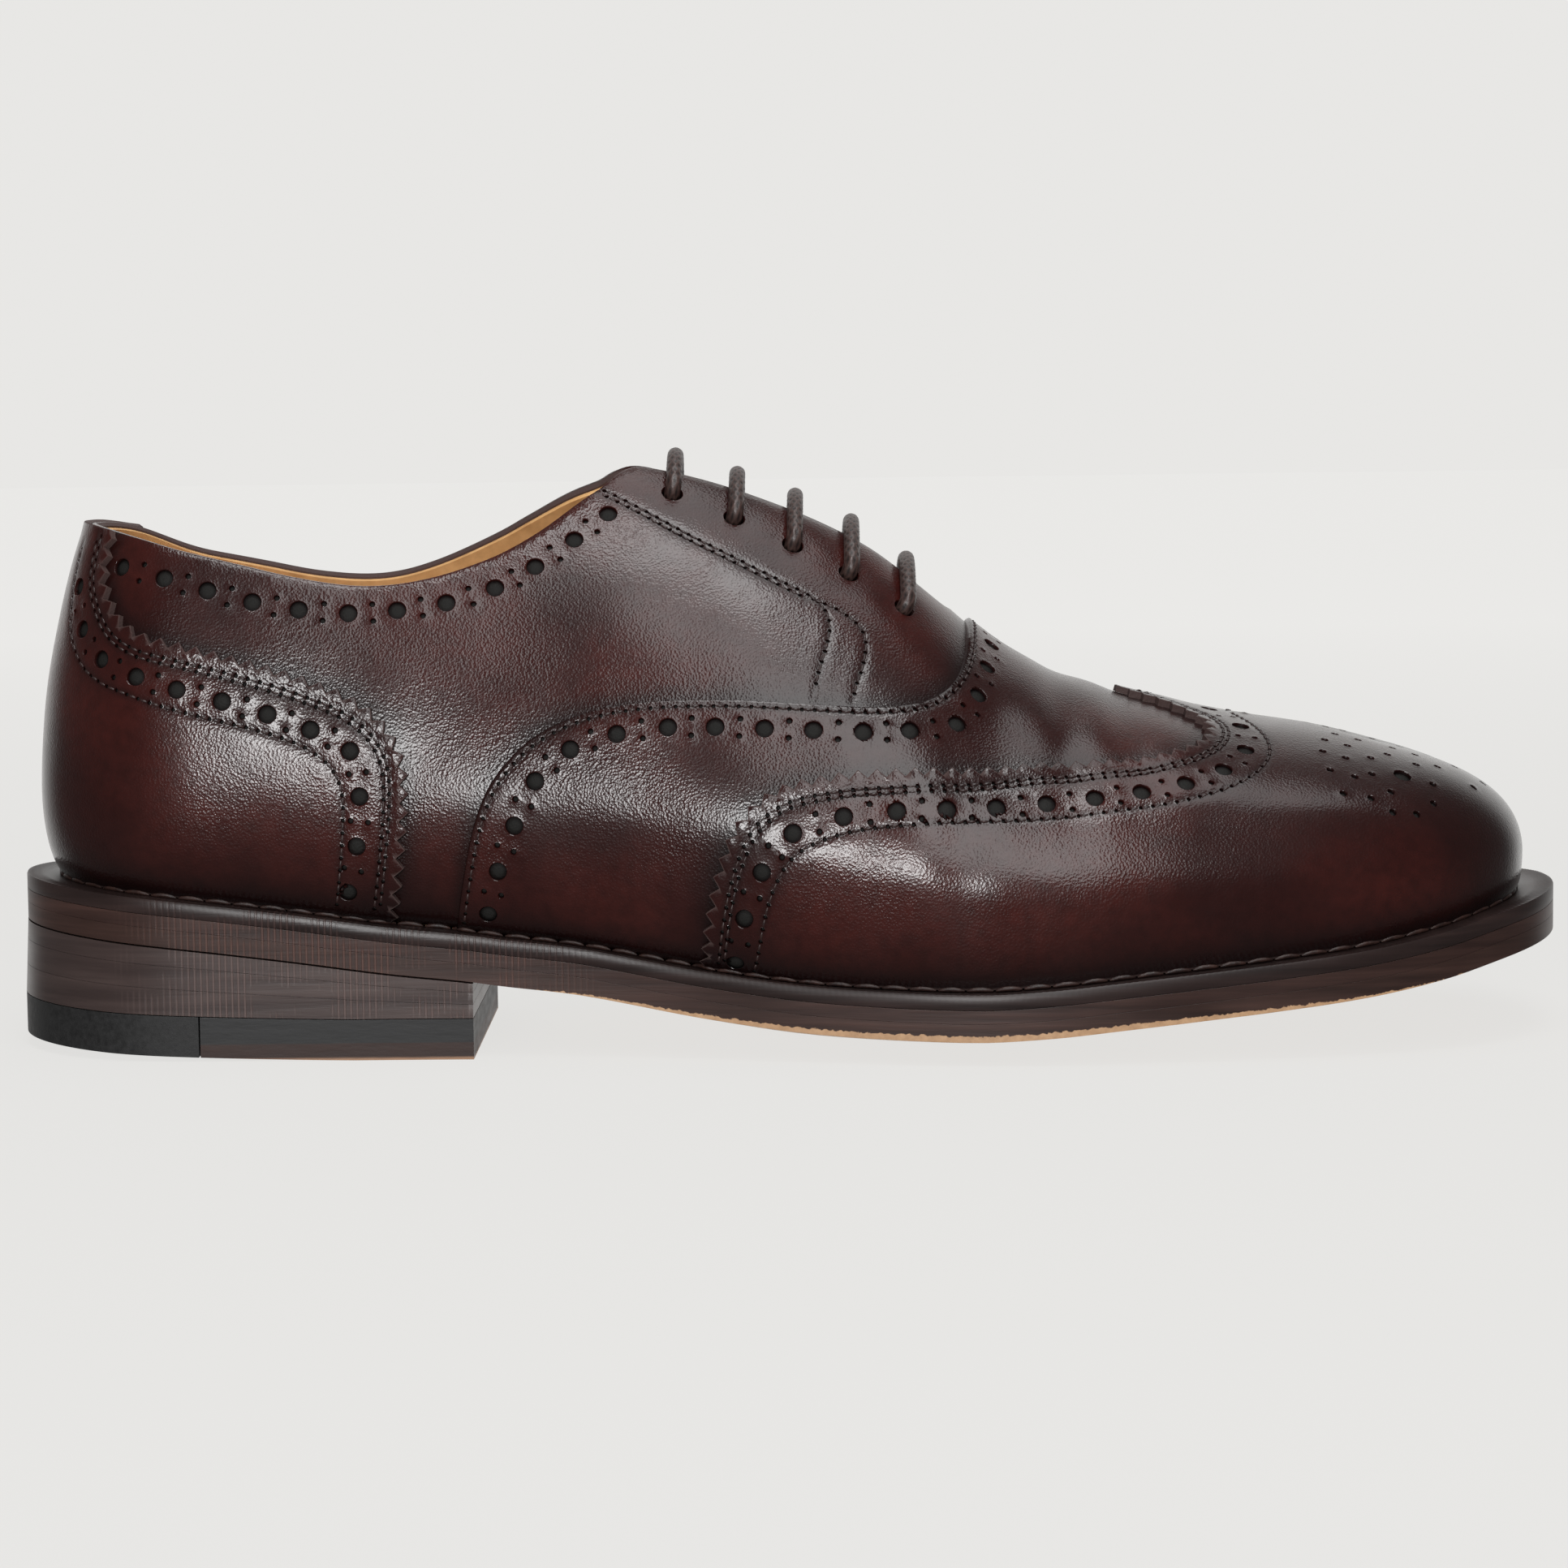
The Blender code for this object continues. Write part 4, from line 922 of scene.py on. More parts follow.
def holes_along(row):
    """Large holes at a row of marks, and a pair of small ones across the row midway between them."""
    line = rounded(row)
    runs = walked(line)
    flat_line, flat_row = flatten(line), flatten(row)
    near = [np.argmin(np.linalg.norm(flat_line - spot, axis=1)) for spot in flat_row]
    at = runs[near]
    middles = at_distance(line, (at[1:] + at[:-1]) / 2)
    ends = at_distance(line, (at[1:] + at[:-1]) / 2 + 0.0005)
    points, normals = on_surface(middles)
    ahead = on_surface(ends)[0] - points
    aside = np.cross(normals, ahead)
    aside *= PAIR_SPREAD / np.linalg.norm(aside, axis=1, keepdims=True)
    pairs = np.concatenate([shift(middles, aside), shift(middles, -aside)])
    return np.array(row), pairs


class Sheet:
    """Marks of one leather sheet with their own height and hole mask (painted shade inside the holes), laid
    down in order of weight.
    """

    def __init__(self, border, chart):
        self.chart = chart
        self.border = border
        self.loop = [chart(border)]
        self.marks = [border]
        self.heights = [np.zeros(len(border))]
        self.pits = [np.zeros(len(border))]
        self.rows = []
        self.shades = []

    def shade(self, line, reach):
        """Paints shade on the leather beside a line and its mirror, dark at the line and clear at the reach.
        """
        self.shades.append((np.concatenate([line, mirrored(line)]), reach))

    def add(self, marks, spacing, heights=0.0, pits=0.0):
        """Takes the marks that lie on the sheet and keep their spacing from those already there."""
        marks = np.atleast_2d(marks)
        heights = np.broadcast_to(heights, len(marks))
        pits = np.broadcast_to(pits, len(marks))
        keep = inside(self.chart(marks), self.loop)
        marks, heights, pits = marks[keep], heights[keep], pits[keep]
        held = on_surface(np.concatenate(self.marks))[0]
        tree = KDTree(len(held))
        for i, point in enumerate(held):
            tree.insert(point, i)
        tree.balance()
        away = np.array([tree.find(point)[2] for point in on_surface(marks)[0]])
        keep = away > spacing
        self.marks.append(marks[keep])
        self.heights.append(heights[keep])
        self.pits.append(pits[keep])

    def punch(self, centres, radius, segments, depth=HOLE_DEPTH):
        """Round holes with a soft lip, an upright wall and a floor, with painted shade on the wall and
        floor.
        """
        if not len(centres):
            return
        centres = np.atleast_2d(centres)
        flat = flatten(centres)
        moves = chart_moves(flat)
        normals = on_surface(centres)[1]
        first = np.cross(normals, [0.0, 0.0, 1.0])
        first /= np.linalg.norm(first, axis=1, keepdims=True) + 1e-9
        second = np.cross(normals, first)
        lip = min(0.35 * radius, 0.0004)
        rings = (
            (radius + lip, 0.0, 0.0),
            (radius + 0.3 * lip, 0.00003, 0.0),
            (radius, -0.00006, 0.15),
            (radius - 0.00007, -depth, 0.9),
            (0.5 * radius, -depth + 0.10 * radius, 1.0),
        )
        marks, heights, pits = [], [], []
        for reach, height, pit in rings:
            for k in range(segments):
                turn = 2 * math.pi * k / segments
                move = reach * (math.cos(turn) * first + math.sin(turn) * second)
                marks.append(unflatten(flat + np.einsum("nij,nj->ni", moves, move)))
                heights.append(np.full(len(centres), height))
                pits.append(np.full(len(centres), pit))
        marks.append(centres)
        heights.append(np.full(len(centres), -depth + 0.14 * radius))
        pits.append(np.ones(len(centres)))
        self.add(np.concatenate(marks), 0.00004, np.concatenate(heights), np.concatenate(pits))

    def sew(self, line, offset=0.0):
        """A row of needle holes along a line, and the marks that let the seam sink between them."""
        total = walked(line)[-1]
        count = int(total / STITCH_PITCH)
        run = (np.arange(count) + 0.5 + offset) * STITCH_PITCH
        run = run[run < total]
        row = at_distance(line, run)
        self.rows.append((line, run, total))
        self.punch(row, NEEDLE_HOLE, 6, NEEDLE_DEPTH)
        fine = at_distance(line, np.arange(0.3, total / 0.0008, 1.0) * 0.0008)
        left = headings(fine)[3]
        for side in (0.0, GROOVE_HALF, -GROOVE_HALF, 1.9 * GROOVE_HALF, -1.9 * GROOVE_HALF):
            self.add(shift(fine, side * left), 0.00028)

    def clearance(self, marks, line_points):
        """Distance from each mark to the nearest of a line's points."""
        tree = KDTree(len(line_points))
        for i, point in enumerate(line_points):
            tree.insert(point, i)
        tree.balance()
        return np.array([tree.find(point)[2] for point in on_surface(marks)[0]])

    def finish(self, name, material, level, foot, edge, relief=None, replaced=(), lip=None):
        """Triangulates the sheet at its level, with a rounded edge and walls down to the foot level."""
        marks = np.concatenate(self.marks)
        heights = np.concatenate(self.heights) + level
        pits = np.concatenate(self.pits)
        closed = np.concatenate([self.border, self.border[:1]])
        rim = on_surface(evenly(closed, 0.0003))[0]
        away = self.clearance(marks, rim)
        away[: len(self.border)] = 0
        round_off = EDGE_ROUND[edge]
        inward = np.clip(1 - away / round_off, 0, 1)
        heights = heights - round_off * (1 - np.sqrt(np.clip(1 - inward**2, 0, 1)))
        # Darker towards the sheet's edge.
        burn_and_shade = EDGE_DARKENING[edge] * np.exp(-((away / EDGE_DARKENING_REACH) ** 2))
        # Painted shade in a band above the welt, where the upper tucks under.
        standing = np.linalg.norm(on_surface(marks)[0] - on_surface(marks * [1, 0])[0], axis=1)
        burn_and_shade = np.maximum(burn_and_shade, FOOT_SHADE * np.exp(-((standing / FOOT_SHADE_REACH) ** 2)))
        # Darker towards the toe: partly real burnish, partly painted shade.
        toe = np.clip((TOE_BURNISH_AND_SHADE[1] - np.abs(marks[:, 0] - TOE_STATION)) / np.ptp(TOE_BURNISH_AND_SHADE), 0, 1)
        burn_and_shade = np.maximum(burn_and_shade, TOE_BURN_AND_SHADE * toe)
        # Painted shade on the lower leather beside each overlay's edge.
        for line, reach in self.shades:
            beside = self.clearance(marks, on_surface(line)[0]) / reach
            burn_and_shade = np.maximum(burn_and_shade, OVERLAY_SHADE * np.exp(-(beside**2)))
        if self.rows:
            near = np.full(len(marks), 1.0)
            for line, _, _ in self.rows:
                row_points = on_surface(evenly(line, 0.0004))[0]
                near = np.minimum(near, self.clearance(marks, row_points))
            near = np.clip(near, 0, 0.01)
            sink = np.exp(-((near / (0.8 * GROOVE_HALF)) ** 2))
            puff = np.exp(-(((near - 3.0 * GROOVE_HALF) / (1.8 * GROOVE_HALF)) ** 2))
            heights = heights - GROOVE_DEPTH * sink + 0.45 * GROOVE_DEPTH * puff
            # Darker along each seam.
            burn_and_shade = np.maximum(burn_and_shade, 0.6 * np.exp(-((near / 0.0009) ** 2)))
        if relief:
            heights = heights + relief(marks, away)
        points, normals = on_surface(marks)
        corners = triangles(self.loop, self.chart(np.concatenate(self.marks[1:])))
        top = points + heights[:, None] * normals
        count, ring = len(marks), len(self.border)
        faces = [tuple(face) for face in corners]
        base, base_normal = points[:ring], normals[:ring]
        walls = [top[:ring]]
        wall_levels = [foot] if lip is None else lip
        skirt_darkening, skirt_cut = [], []
        for step in wall_levels:
            height, inset = step if isinstance(step, tuple) else (step, 0.0)
            spot, normal = base, base_normal
            if inset:
                spot, normal = on_surface(inset_marks(self.border, inset, self.chart))
            walls.append(spot + height * normal)
            # The side walls are darker.
            skirt_darkening.append(np.full(ring, 0.55))
            skirt_cut.append(np.full(ring, 1.0 if edge != "folded" else 0.3))
        for k in range(len(walls) - 1):
            first = 0 if k == 0 else count + (k - 1) * ring
            second = count + k * ring
            for i in range(ring):
                j = (i + 1) % ring
                faces.append((first + j, first + i, second + i, second + j))
        faces = outward(faces, top, corners, normals)
        every = np.concatenate([top] + walls[1:])
        cut = np.concatenate([np.where(away < 0.0002, 0.8 if edge == "cut" else 0.0, 0.0)] + skirt_cut)
        fields = {
            "burnish_and_shade": np.concatenate([burn_and_shade] + skirt_darkening),
            "pit": np.concatenate([pits] + [np.zeros(ring)] * (len(walls) - 1)),
            "cut": cut,
        }
        piece = add_piece(name, every, faces, material, replaced, fields)
        sew_threads(name + "_stitches", self.rows, lambda at: level - 0.7 * GROOVE_DEPTH)
        return piece


def outward(faces, top, corners, normals):
    """The same faces, all turned round when the sheet's first ones face inward."""
    a, b, c = (top[corners[:, k]] for k in range(3))
    facing = np.einsum("ij,ij->i", np.cross(b - a, c - a), normals[corners[:, 0]])
    if np.median(facing) >= 0:
        return faces
    return [tuple(reversed(face)) for face in faces]


def inset_marks(border, distance, chart):
    """A closed border moved inward over the surface."""
    left = headings(border, closed=True)[3]
    tried = shift(border, 0.0003 * left)
    sign = 1.0 if inside(chart(tried), [chart(border)]).mean() > 0.5 else -1.0
    return shift(border, sign * distance * left)


def add_piece(name, points, faces, material, replaced=(), fields=None, sharp=35):
    """A mesh piece that rides on the shoe, with its material and per-point fields."""
    mesh = bpy.data.meshes.new(name)
    mesh.from_pydata([tuple(p) for p in points], [], [tuple(int(v) for v in f) for f in faces])
    mesh.shade_smooth()
    if sharp:
        mesh.set_sharp_from_angle(angle=math.radians(sharp))
    for field, values in (fields or {}).items():
        layer = mesh.attributes.new(field, "FLOAT", "POINT")
        layer.data.foreach_set("value", np.asarray(values, np.float32))
    mesh.materials.append(material)
    piece = bpy.data.objects.new(name, mesh)
    bpy.context.scene.collection.objects.link(piece)
    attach(piece, "root")
    if replaced:
        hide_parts(*replaced)
    return piece


def add_tube(points, faces, centres, reaches, axes, sides):
    """Adds an open tube round the centres, with its own reach and pair of axes at each."""
    start = len(points)
    left, normal = axes
    for k, (centre, reach) in enumerate(zip(centres, reaches)):
        for side in range(sides):
            turn = 2 * math.pi * side / sides
            points.append(centre + reach * (math.cos(turn) * left[k] + math.sin(turn) * normal[k]))
    for k in range(len(centres) - 1):
        for side in range(sides):
            a = start + k * sides + side
            b = start + k * sides + (side + 1) % sides
            faces.append((a, b, b + sides, a + sides))


def sew_threads(name, rows, level):
    """The threads between the needle holes of every row, as one piece."""
    points, faces = [], []
    shape = ((0.0, 0.25, -1.0), (0.14, 0.8, -0.35), (0.5, 1.0, 0.0), (0.86, 0.8, -0.35), (1.0, 0.25, -1.0))
    sides = 6
    for line, run, _ in rows:
        if len(run) < 2:
            continue
        middles = (run[1:] + run[:-1]) / 2
        for middle in middles:
            at = middle + (np.array([s[0] for s in shape]) - 0.5) * STITCH_LENGTH
            spot, normal, _, left = headings(at_distance(line, at))
            heights = level(middle) + np.array([s[2] for s in shape]) * STITCH_RADIUS
            centres = spot + heights[:, None] * normal
            reaches = [s[1] * STITCH_RADIUS for s in shape]
            add_tube(points, faces, centres, reaches, (left, normal), sides)
    if points:
        add_piece(name, points, faces, MATERIAL["thread"], sharp=0)


def smooth_noise(points, scale, seed=0.0):
    """Soft noise in -1..1 over points, with features about scale across."""
    return np.array([noise.noise(Vector(p) / scale + Vector((seed, seed, seed))) for p in points])


class Shader:
    """A small helper that writes a Principled material node by node."""

    def __init__(self, name):
        self.material = bpy.data.materials.new(name)
        self.material.use_nodes = True
        self.tree = self.material.node_tree
        self.surface = self.tree.nodes["Principled BSDF"]
        self.place = self.node("ShaderNodeTexCoord").outputs["Object"]

    def node(self, kind, **values):
        made = self.tree.nodes.new(kind)
        for key, value in values.items():
            setattr(made, key, value)
        return made

    def set(self, name, value):
        if hasattr(value, "is_linked"):
            self.tree.links.new(value, self.surface.inputs[name])
        else:
            self.surface.inputs[name].default_value = value

    def plug(self, value, socket):
        if hasattr(value, "is_linked"):
            self.tree.links.new(value, socket)
        else:
            socket.default_value = value

    def noise(self, scale, detail=3.0, rough=0.55, stretch=None, warp=0.0):
        made = self.node("ShaderNodeTexNoise")
        made.inputs["Scale"].default_value = scale
        made.inputs["Detail"].default_value = detail
        made.inputs["Roughness"].default_value = rough
        made.inputs["Distortion"].default_value = warp
        self.plug(self.stretched(stretch), made.inputs["Vector"])
        return made.outputs["Fac"]

    def stretched(self, stretch):
        if not stretch:
            return self.place
        mapping = self.node("ShaderNodeMapping")
        mapping.inputs["Scale"].default_value = stretch
        self.tree.links.new(self.place, mapping.inputs["Vector"])
        return mapping.outputs["Vector"]

    def cells(self, scale, feature="SMOOTH_F1", smooth=0.6):
        made = self.node("ShaderNodeTexVoronoi", feature=feature)
        made.inputs["Scale"].default_value = scale
        if feature == "SMOOTH_F1":
            made.inputs["Smoothness"].default_value = smooth
        self.tree.links.new(self.place, made.inputs["Vector"])
        return made.outputs["Distance"]

    def axis(self, name):
        """One coordinate of the place on the shoe, in metres."""
        split = self.node("ShaderNodeSeparateXYZ")
        self.tree.links.new(self.place, split.inputs[0])
        return split.outputs[name]

    def field(self, name):
        made = self.node("ShaderNodeAttribute", attribute_name=name)
        return made.outputs["Fac"]

    def ramp(self, value, low, high, to_low=0.0, to_high=1.0):
        made = self.node("ShaderNodeMapRange")
        made.inputs["From Min"].default_value = low
        made.inputs["From Max"].default_value = high
        made.inputs["To Min"].default_value = to_low
        made.inputs["To Max"].default_value = to_high
        self.plug(value, made.inputs["Value"])
        return made.outputs["Result"]

    def math(self, operation, first, second):
        made = self.node("ShaderNodeMath", operation=operation)
        self.plug(first, made.inputs[0])
        self.plug(second, made.inputs[1])
        return made.outputs["Value"]

    def mix(self, share, first, second, blend="MIX"):
        made = self.node("ShaderNodeMix", data_type="RGBA", blend_type=blend)
        self.plug(share, made.inputs["Factor"])
        for value, socket in ((first, made.inputs[6]), (second, made.inputs[7])):
            self.plug((*value, 1.0) if isinstance(value, tuple) else value, socket)
        return made.outputs[2]

    def bump(self, height, distance, strength=1.0, under=None):
        made = self.node("ShaderNodeBump")
        made.inputs["Strength"].default_value = strength
        made.inputs["Distance"].default_value = distance
        self.plug(height, made.inputs["Height"])
        if under is not None:
            self.plug(under, made.inputs["Normal"])
        return made.outputs["Normal"]


EDGE_TONE = (0.110, 0.075, 0.070)
# Painted shade on the holes' floors, the dark tone of real burnish and painted shade, and painted shade on
# the holes' walls.
HOLE_FLOOR_SHADE = (0.0125, 0.0120, 0.0110)
BURNISH_AND_SHADE_TONE = (0.0030, 0.0014, 0.0015)
HOLE_WALL_SHADE = (0.0008, 0.0007, 0.0007)
GRAIN_MEAN = 1.1


def leather(name, deep, warm, gloss, grain, coat):
    """Burnished calf: patchy colour, darker with real burnish and with painted shade (above the welt, beside
    overlays, at the toe), painted shade in the holes, pebbled grain, waxed.
    """
    shader = Shader(name)
    patches = shader.ramp(shader.noise(26, 2.5, 0.5), 0.42, 0.62)
    colour = shader.mix(patches, deep, warm)
    shaded = tuple(0.55 * part for part in deep)
    colour = shader.mix(shader.ramp(shader.noise(420, 4.0), 0.35, 0.7, 0.0, 0.45), colour, shaded)
    # Darker with real burnish and with painted shade, both held in one field.
    colour = shader.mix(shader.math("MULTIPLY", shader.field("burnish_and_shade"), 0.92), colour, BURNISH_AND_SHADE_TONE)
    colour = shader.mix(shader.math("MULTIPLY", shader.field("cut"), 0.7), colour, EDGE_TONE)
    # Painted shade inside the holes: a near-black wall and a dark floor.
    floor = shader.mix(shader.ramp(shader.field("pit"), 0.91, 1.0), HOLE_WALL_SHADE, HOLE_FLOOR_SHADE)
    colour = shader.mix(shader.field("pit"), colour, floor)
    shader.set("Base Color", colour)
    rough = shader.ramp(shader.noise(90, 3.0), 0.3, 0.7, gloss - 0.04, gloss + 0.06)
    dull = shader.math("MAXIMUM", shader.field("pit"), shader.field("cut"))
    rough = shader.math("ADD", rough, shader.math("MULTIPLY", dull, 0.35))
    shader.set("Roughness", rough)
    pebbles = shader.math("MULTIPLY", shader.cells(2100, "SMOOTH_F1", 0.35), 1.5)
    wrinkles = shader.noise(2600, 2.0, 0.6, (1.0, 1.0, 0.8), 0.2)
    patchy = shader.ramp(shader.noise(55, 2.0), 0.35, 0.65, 0.45, 1.0)
    grained = shader.math("SUBTRACT", shader.math("ADD", pebbles, wrinkles), GRAIN_MEAN)
    relief = shader.math("MULTIPLY", grained, patchy)
    shader.set("Normal", shader.bump(relief, grain))
    shader.set("Specular IOR Level", 0.17)
    shader.set("Coat Weight", shader.ramp(dull, 0.0, 0.6, coat, 0.0))
    shader.set("Coat Roughness", 0.15)
    shader.set("Coat Normal", shader.bump(relief, 0.7 * grain))
    return shader.material


TICK_PITCH = 0.0012
TICK_SPAN = (-0.132, -0.035)
TOP_PIECE_SEAM = 0.0034


def waxed_edge(name, low, high, gloss, bare=False):
    """A dyed, ironed leather edge: long faint streaks, and the wheel's upright ticks over the heel."""
    shader = Shader(name)
    streaks = shader.noise(420, 4.0, 0.6, (0.05, 0.05, 1.0))
    clouds = shader.noise(70, 3.0, 0.5, (0.4, 0.4, 1.0))
    tone = shader.math("MULTIPLY", shader.ramp(streaks, 0.35, 0.7), shader.ramp(clouds, 0.3, 0.65, 0.3, 1.0))
    colour = shader.mix(tone, low, high)
    across = shader.axis("X")
    wave = shader.math("SINE", shader.math("MULTIPLY", across, 2 * math.pi / TICK_PITCH), 0.0)
    there = shader.ramp(across, TICK_SPAN[0], TICK_SPAN[0] + 0.02)
    there = shader.math("MULTIPLY", there, shader.ramp(across, TICK_SPAN[1], TICK_SPAN[1] - 0.02))
    there = shader.math("MULTIPLY", there, shader.ramp(shader.noise(130, 2.0), 0.42, 0.58))
    ticks = shader.math("MULTIPLY", shader.ramp(wave, 0.2, 0.9), there)
    colour = shader.mix(shader.math("MULTIPLY", ticks, 0.4), colour, tuple(2.2 * part for part in high))
    if bare:
        unstained = shader.field("bare")
        fray = shader.ramp(shader.noise(900, 3.0), 0.3, 0.7, -0.25, 0.25)
        ragged = shader.math("ADD", unstained, fray)
        speck = shader.mix(shader.noise(700, 3.0), (0.30, 0.165, 0.085), (0.60, 0.38, 0.22))
        colour = shader.mix(shader.ramp(ragged, -0.05, 0.10), colour, speck)
    shader.set("Base Color", colour)
    shader.set("Roughness", shader.ramp(clouds, 0.3, 0.7, gloss - 0.06, gloss + 0.08))
    relief = shader.math("ADD", streaks, shader.math("MULTIPLY", ticks, -0.6))
    shader.set("Normal", shader.bump(relief, 0.00008))
    shader.set("Specular IOR Level", 0.35)
    shader.set("Coat Weight", 0.12)
    shader.set("Coat Roughness", 0.25)
    return shader.material


def top_piece_edge():
    """The heel's foremost layer: black rubber over a thin dyed leather edge, worn bare at the ground."""
    shader = Shader("top_piece_finish")
    grain = shader.noise(500, 4.0, 0.6, (0.2, 0.2, 1.0))
    height = shader.math("ADD", shader.axis("Z"), shader.math("MULTIPLY", grain, 0.0004))
    brown = shader.mix(grain, (0.018, 0.0085, 0.0070), (0.046, 0.022, 0.017))
    black = shader.mix(grain, (0.012, 0.012, 0.0125), (0.024, 0.024, 0.025))
    colour = shader.mix(shader.ramp(height, TOP_PIECE_SEAM, TOP_PIECE_SEAM + 0.0003), brown, black)
    colour = shader.mix(shader.ramp(height, 0.0009, 0.0004), colour, (0.34, 0.19, 0.11))
    shader.set("Base Color", colour)
    shader.set("Roughness", shader.ramp(grain, 0.3, 0.7, 0.42, 0.55))
    shader.set("Normal", shader.bump(grain, 0.00006))
    return shader.material


FLOOR_TONE = (0.806, 0.799, 0.783)
FLOOR_GLOW = 0.90
FLOOR_ALBEDO = 0.085
FLOOR_FADE = (-0.95, -0.42)
FLOOR_REACH = (0.15, 1.40)


def floor_finish():
    """A pale sweep that glows with its own light over a faint lit colour, and whose glow falls off in front
    of the camera.
    """
    shader = Shader("floor_finish")
    speckle = shader.noise(3, 2.0)
    tone = tuple(FLOOR_ALBEDO * part for part in FLOOR_TONE)
    shader.set("Base Color", shader.mix(speckle, tone, tuple(1.04 * part for part in tone)))
    shader.set("Roughness", 0.8)
    shader.set("Specular IOR Level", 0.0)
    shader.set("Emission Color", (*FLOOR_TONE, 1.0))
    depth = shader.axis("Y")
    near = shader.ramp(depth, *FLOOR_FADE, 0.25, 1.0)
    far = shader.ramp(depth, *FLOOR_REACH, FLOOR_GLOW, 1.0)
    shader.set("Emission Strength", shader.math("MULTIPLY", near, far))
    return shader.material


def plain(name, low, high, gloss, scale, relief, stretch=None, coat=0.0, field=None, other=None):
    """A two-tone material with matching relief, turning to another colour where a field says so."""
    shader = Shader(name)
    grain = shader.noise(scale, 4.0, 0.6, stretch)
    colour = shader.mix(shader.ramp(grain, 0.32, 0.68), low, high)
    if field:
        colour = shader.mix(shader.field(field), colour, other)
    shader.set("Base Color", colour)
    shader.set("Roughness", shader.ramp(grain, 0.3, 0.7, gloss - 0.07, gloss + 0.07))
    shader.set("Normal", shader.bump(grain, relief))
    if coat:
        shader.set("Coat Weight", coat)
        shader.set("Coat Roughness", 0.25)
    return shader.material


def make_materials():
    # Painted shade for the hollows between the lace's strands.
    strand_shade_tone = (0.006, 0.004, 0.004)
    return {
        "leather": leather(
            "upper_leather_finish", (0.023, 0.0044, 0.0038), (0.048, 0.0080, 0.0060), 0.32, 0.00005, 0.60
        ),
        "cap_leather": leather(
            "cap_leather_finish", (0.022, 0.0042, 0.0036), (0.048, 0.0078, 0.0058), 0.30, 0.00004, 0.65
        ),
        "tongue": leather(
            "tongue_leather_finish", (0.016, 0.0042, 0.0040), (0.026, 0.0058, 0.0048), 0.40, 0.00012, 0.10
        ),
        # The lining's tan is raised above its own colour: painted light for the dim inside of the shoe.
        "lining": plain("lining_finish_painted_light", (0.64, 0.35, 0.14), (0.82, 0.49, 0.21), 0.55, 300, 0.00008),
        "thread": plain(
            "thread_finish", (0.016, 0.008, 0.008), (0.036, 0.016, 0.014), 0.45, 900, 0.00005, None, 0.2
        ),
        "inseam": plain("inseam_finish", (0.012, 0.0050, 0.0045), (0.045, 0.018, 0.013), 0.5, 500, 0.0002),
        "lace": plain(
            "lace_finish", (0.040, 0.021, 0.018), (0.082, 0.047, 0.040), 0.42, 800, 0.00012,
            None, 0.2, "burnish_and_shade", strand_shade_tone
        ),
        "welt": waxed_edge("welt_finish", (0.013, 0.0075, 0.0070), (0.036, 0.0200, 0.0180), 0.36),
        "sole_edge": waxed_edge("sole_edge_finish", (0.022, 0.0105, 0.0088), (0.068, 0.0330, 0.0265), 0.38),
        "heel_edge": waxed_edge("heel_edge_finish", (0.038, 0.0250, 0.0235), (0.082, 0.0560, 0.0510), 0.36),
        "outsole": waxed_edge(
            "outsole_finish", (0.024, 0.0118, 0.0096), (0.070, 0.0340, 0.0265), 0.40, True
        ),
        "top_piece": top_piece_edge(),
        "rubber": plain(
            "rubber_finish", (0.010, 0.0100, 0.0103), (0.020, 0.020, 0.0205), 0.55, 900, 0.00005
        ),
        "floor": floor_finish(),
    }


MATERIAL = make_materials()


# Soft creases over the flex of the vamp: (station, rise, reach ahead, reach aside, depth).
CREASES = (
    (9.95, 0.62, 0.0040, 0.020, 0.00035),
    (10.55, 0.70, 0.0034, 0.024, 0.00045),
    (11.15, 0.74, 0.0038, 0.020, 0.00035),
    (8.90, 0.36, 0.0045, 0.016, 0.00025),
    (9.60, 0.30, 0.0042, 0.014, 0.00022),
)
SWELL = 0.00022
SWELL_SIZE = 0.017


def creased(marks, away):
    """Soft troughs over the flex of the shoe and the slight unevenness of lasted leather."""
    points = on_surface(marks)[0]
    height = SWELL * smooth_noise(points, SWELL_SIZE, 3.0)
    for station, rise, ahead, aside, depth in CREASES:
        for side in (station, ROUND - station):
            centre = on_surface([(side, rise)])[0][0]
            gap = points - centre
            across = np.hypot(gap[:, 1], gap[:, 2])
            height -= depth * np.exp(-((gap[:, 0] / ahead) ** 2) - (across / aside) ** 2)
            beyond = (gap[:, 0] - SWELL_AT * ahead) / ahead
            height += SWELL_SHARE * depth * np.exp(-(beyond**2) - (across / aside) ** 2)
    return height


def curled(marks, away):
    """As creased, with pinked teeth that stand up a little."""
    return creased(marks, away) + TOOTH_CURL * np.clip(1 - away / 0.0006, 0, 1)


def pinked(line):
    """A saw-tooth edge along an outer side line."""
    total = walked(line)[-1]
    count = int(total / TOOTH_PITCH)
    steps = np.arange(count * 4 + 1) / 4
    run = steps * total / count
    marks = at_distance(line, run)
    left = headings(marks)[3]
    wave = np.abs((steps % 1.0) * 2 - 1)
    outward_side = TOOTH_IN + (TOOTH_OUT - TOOTH_IN) * wave
    moved = shift(marks, -outward_side[:, None] * left)
    moved[0], moved[-1] = marks[0], marks[-1]
    return moved


def rounded_border(sheet, chart):
    """Marks close inside the border, so that its edge can be rounded."""
    for reach in (0.00022, 0.0006):
        sheet.add(inset_marks(sheet.border, reach, chart), 0.00016)


def lattice_of(first, last, rises=(0.004, 0.997)):
    return spread((first, last), rises, SHEET_STEP)


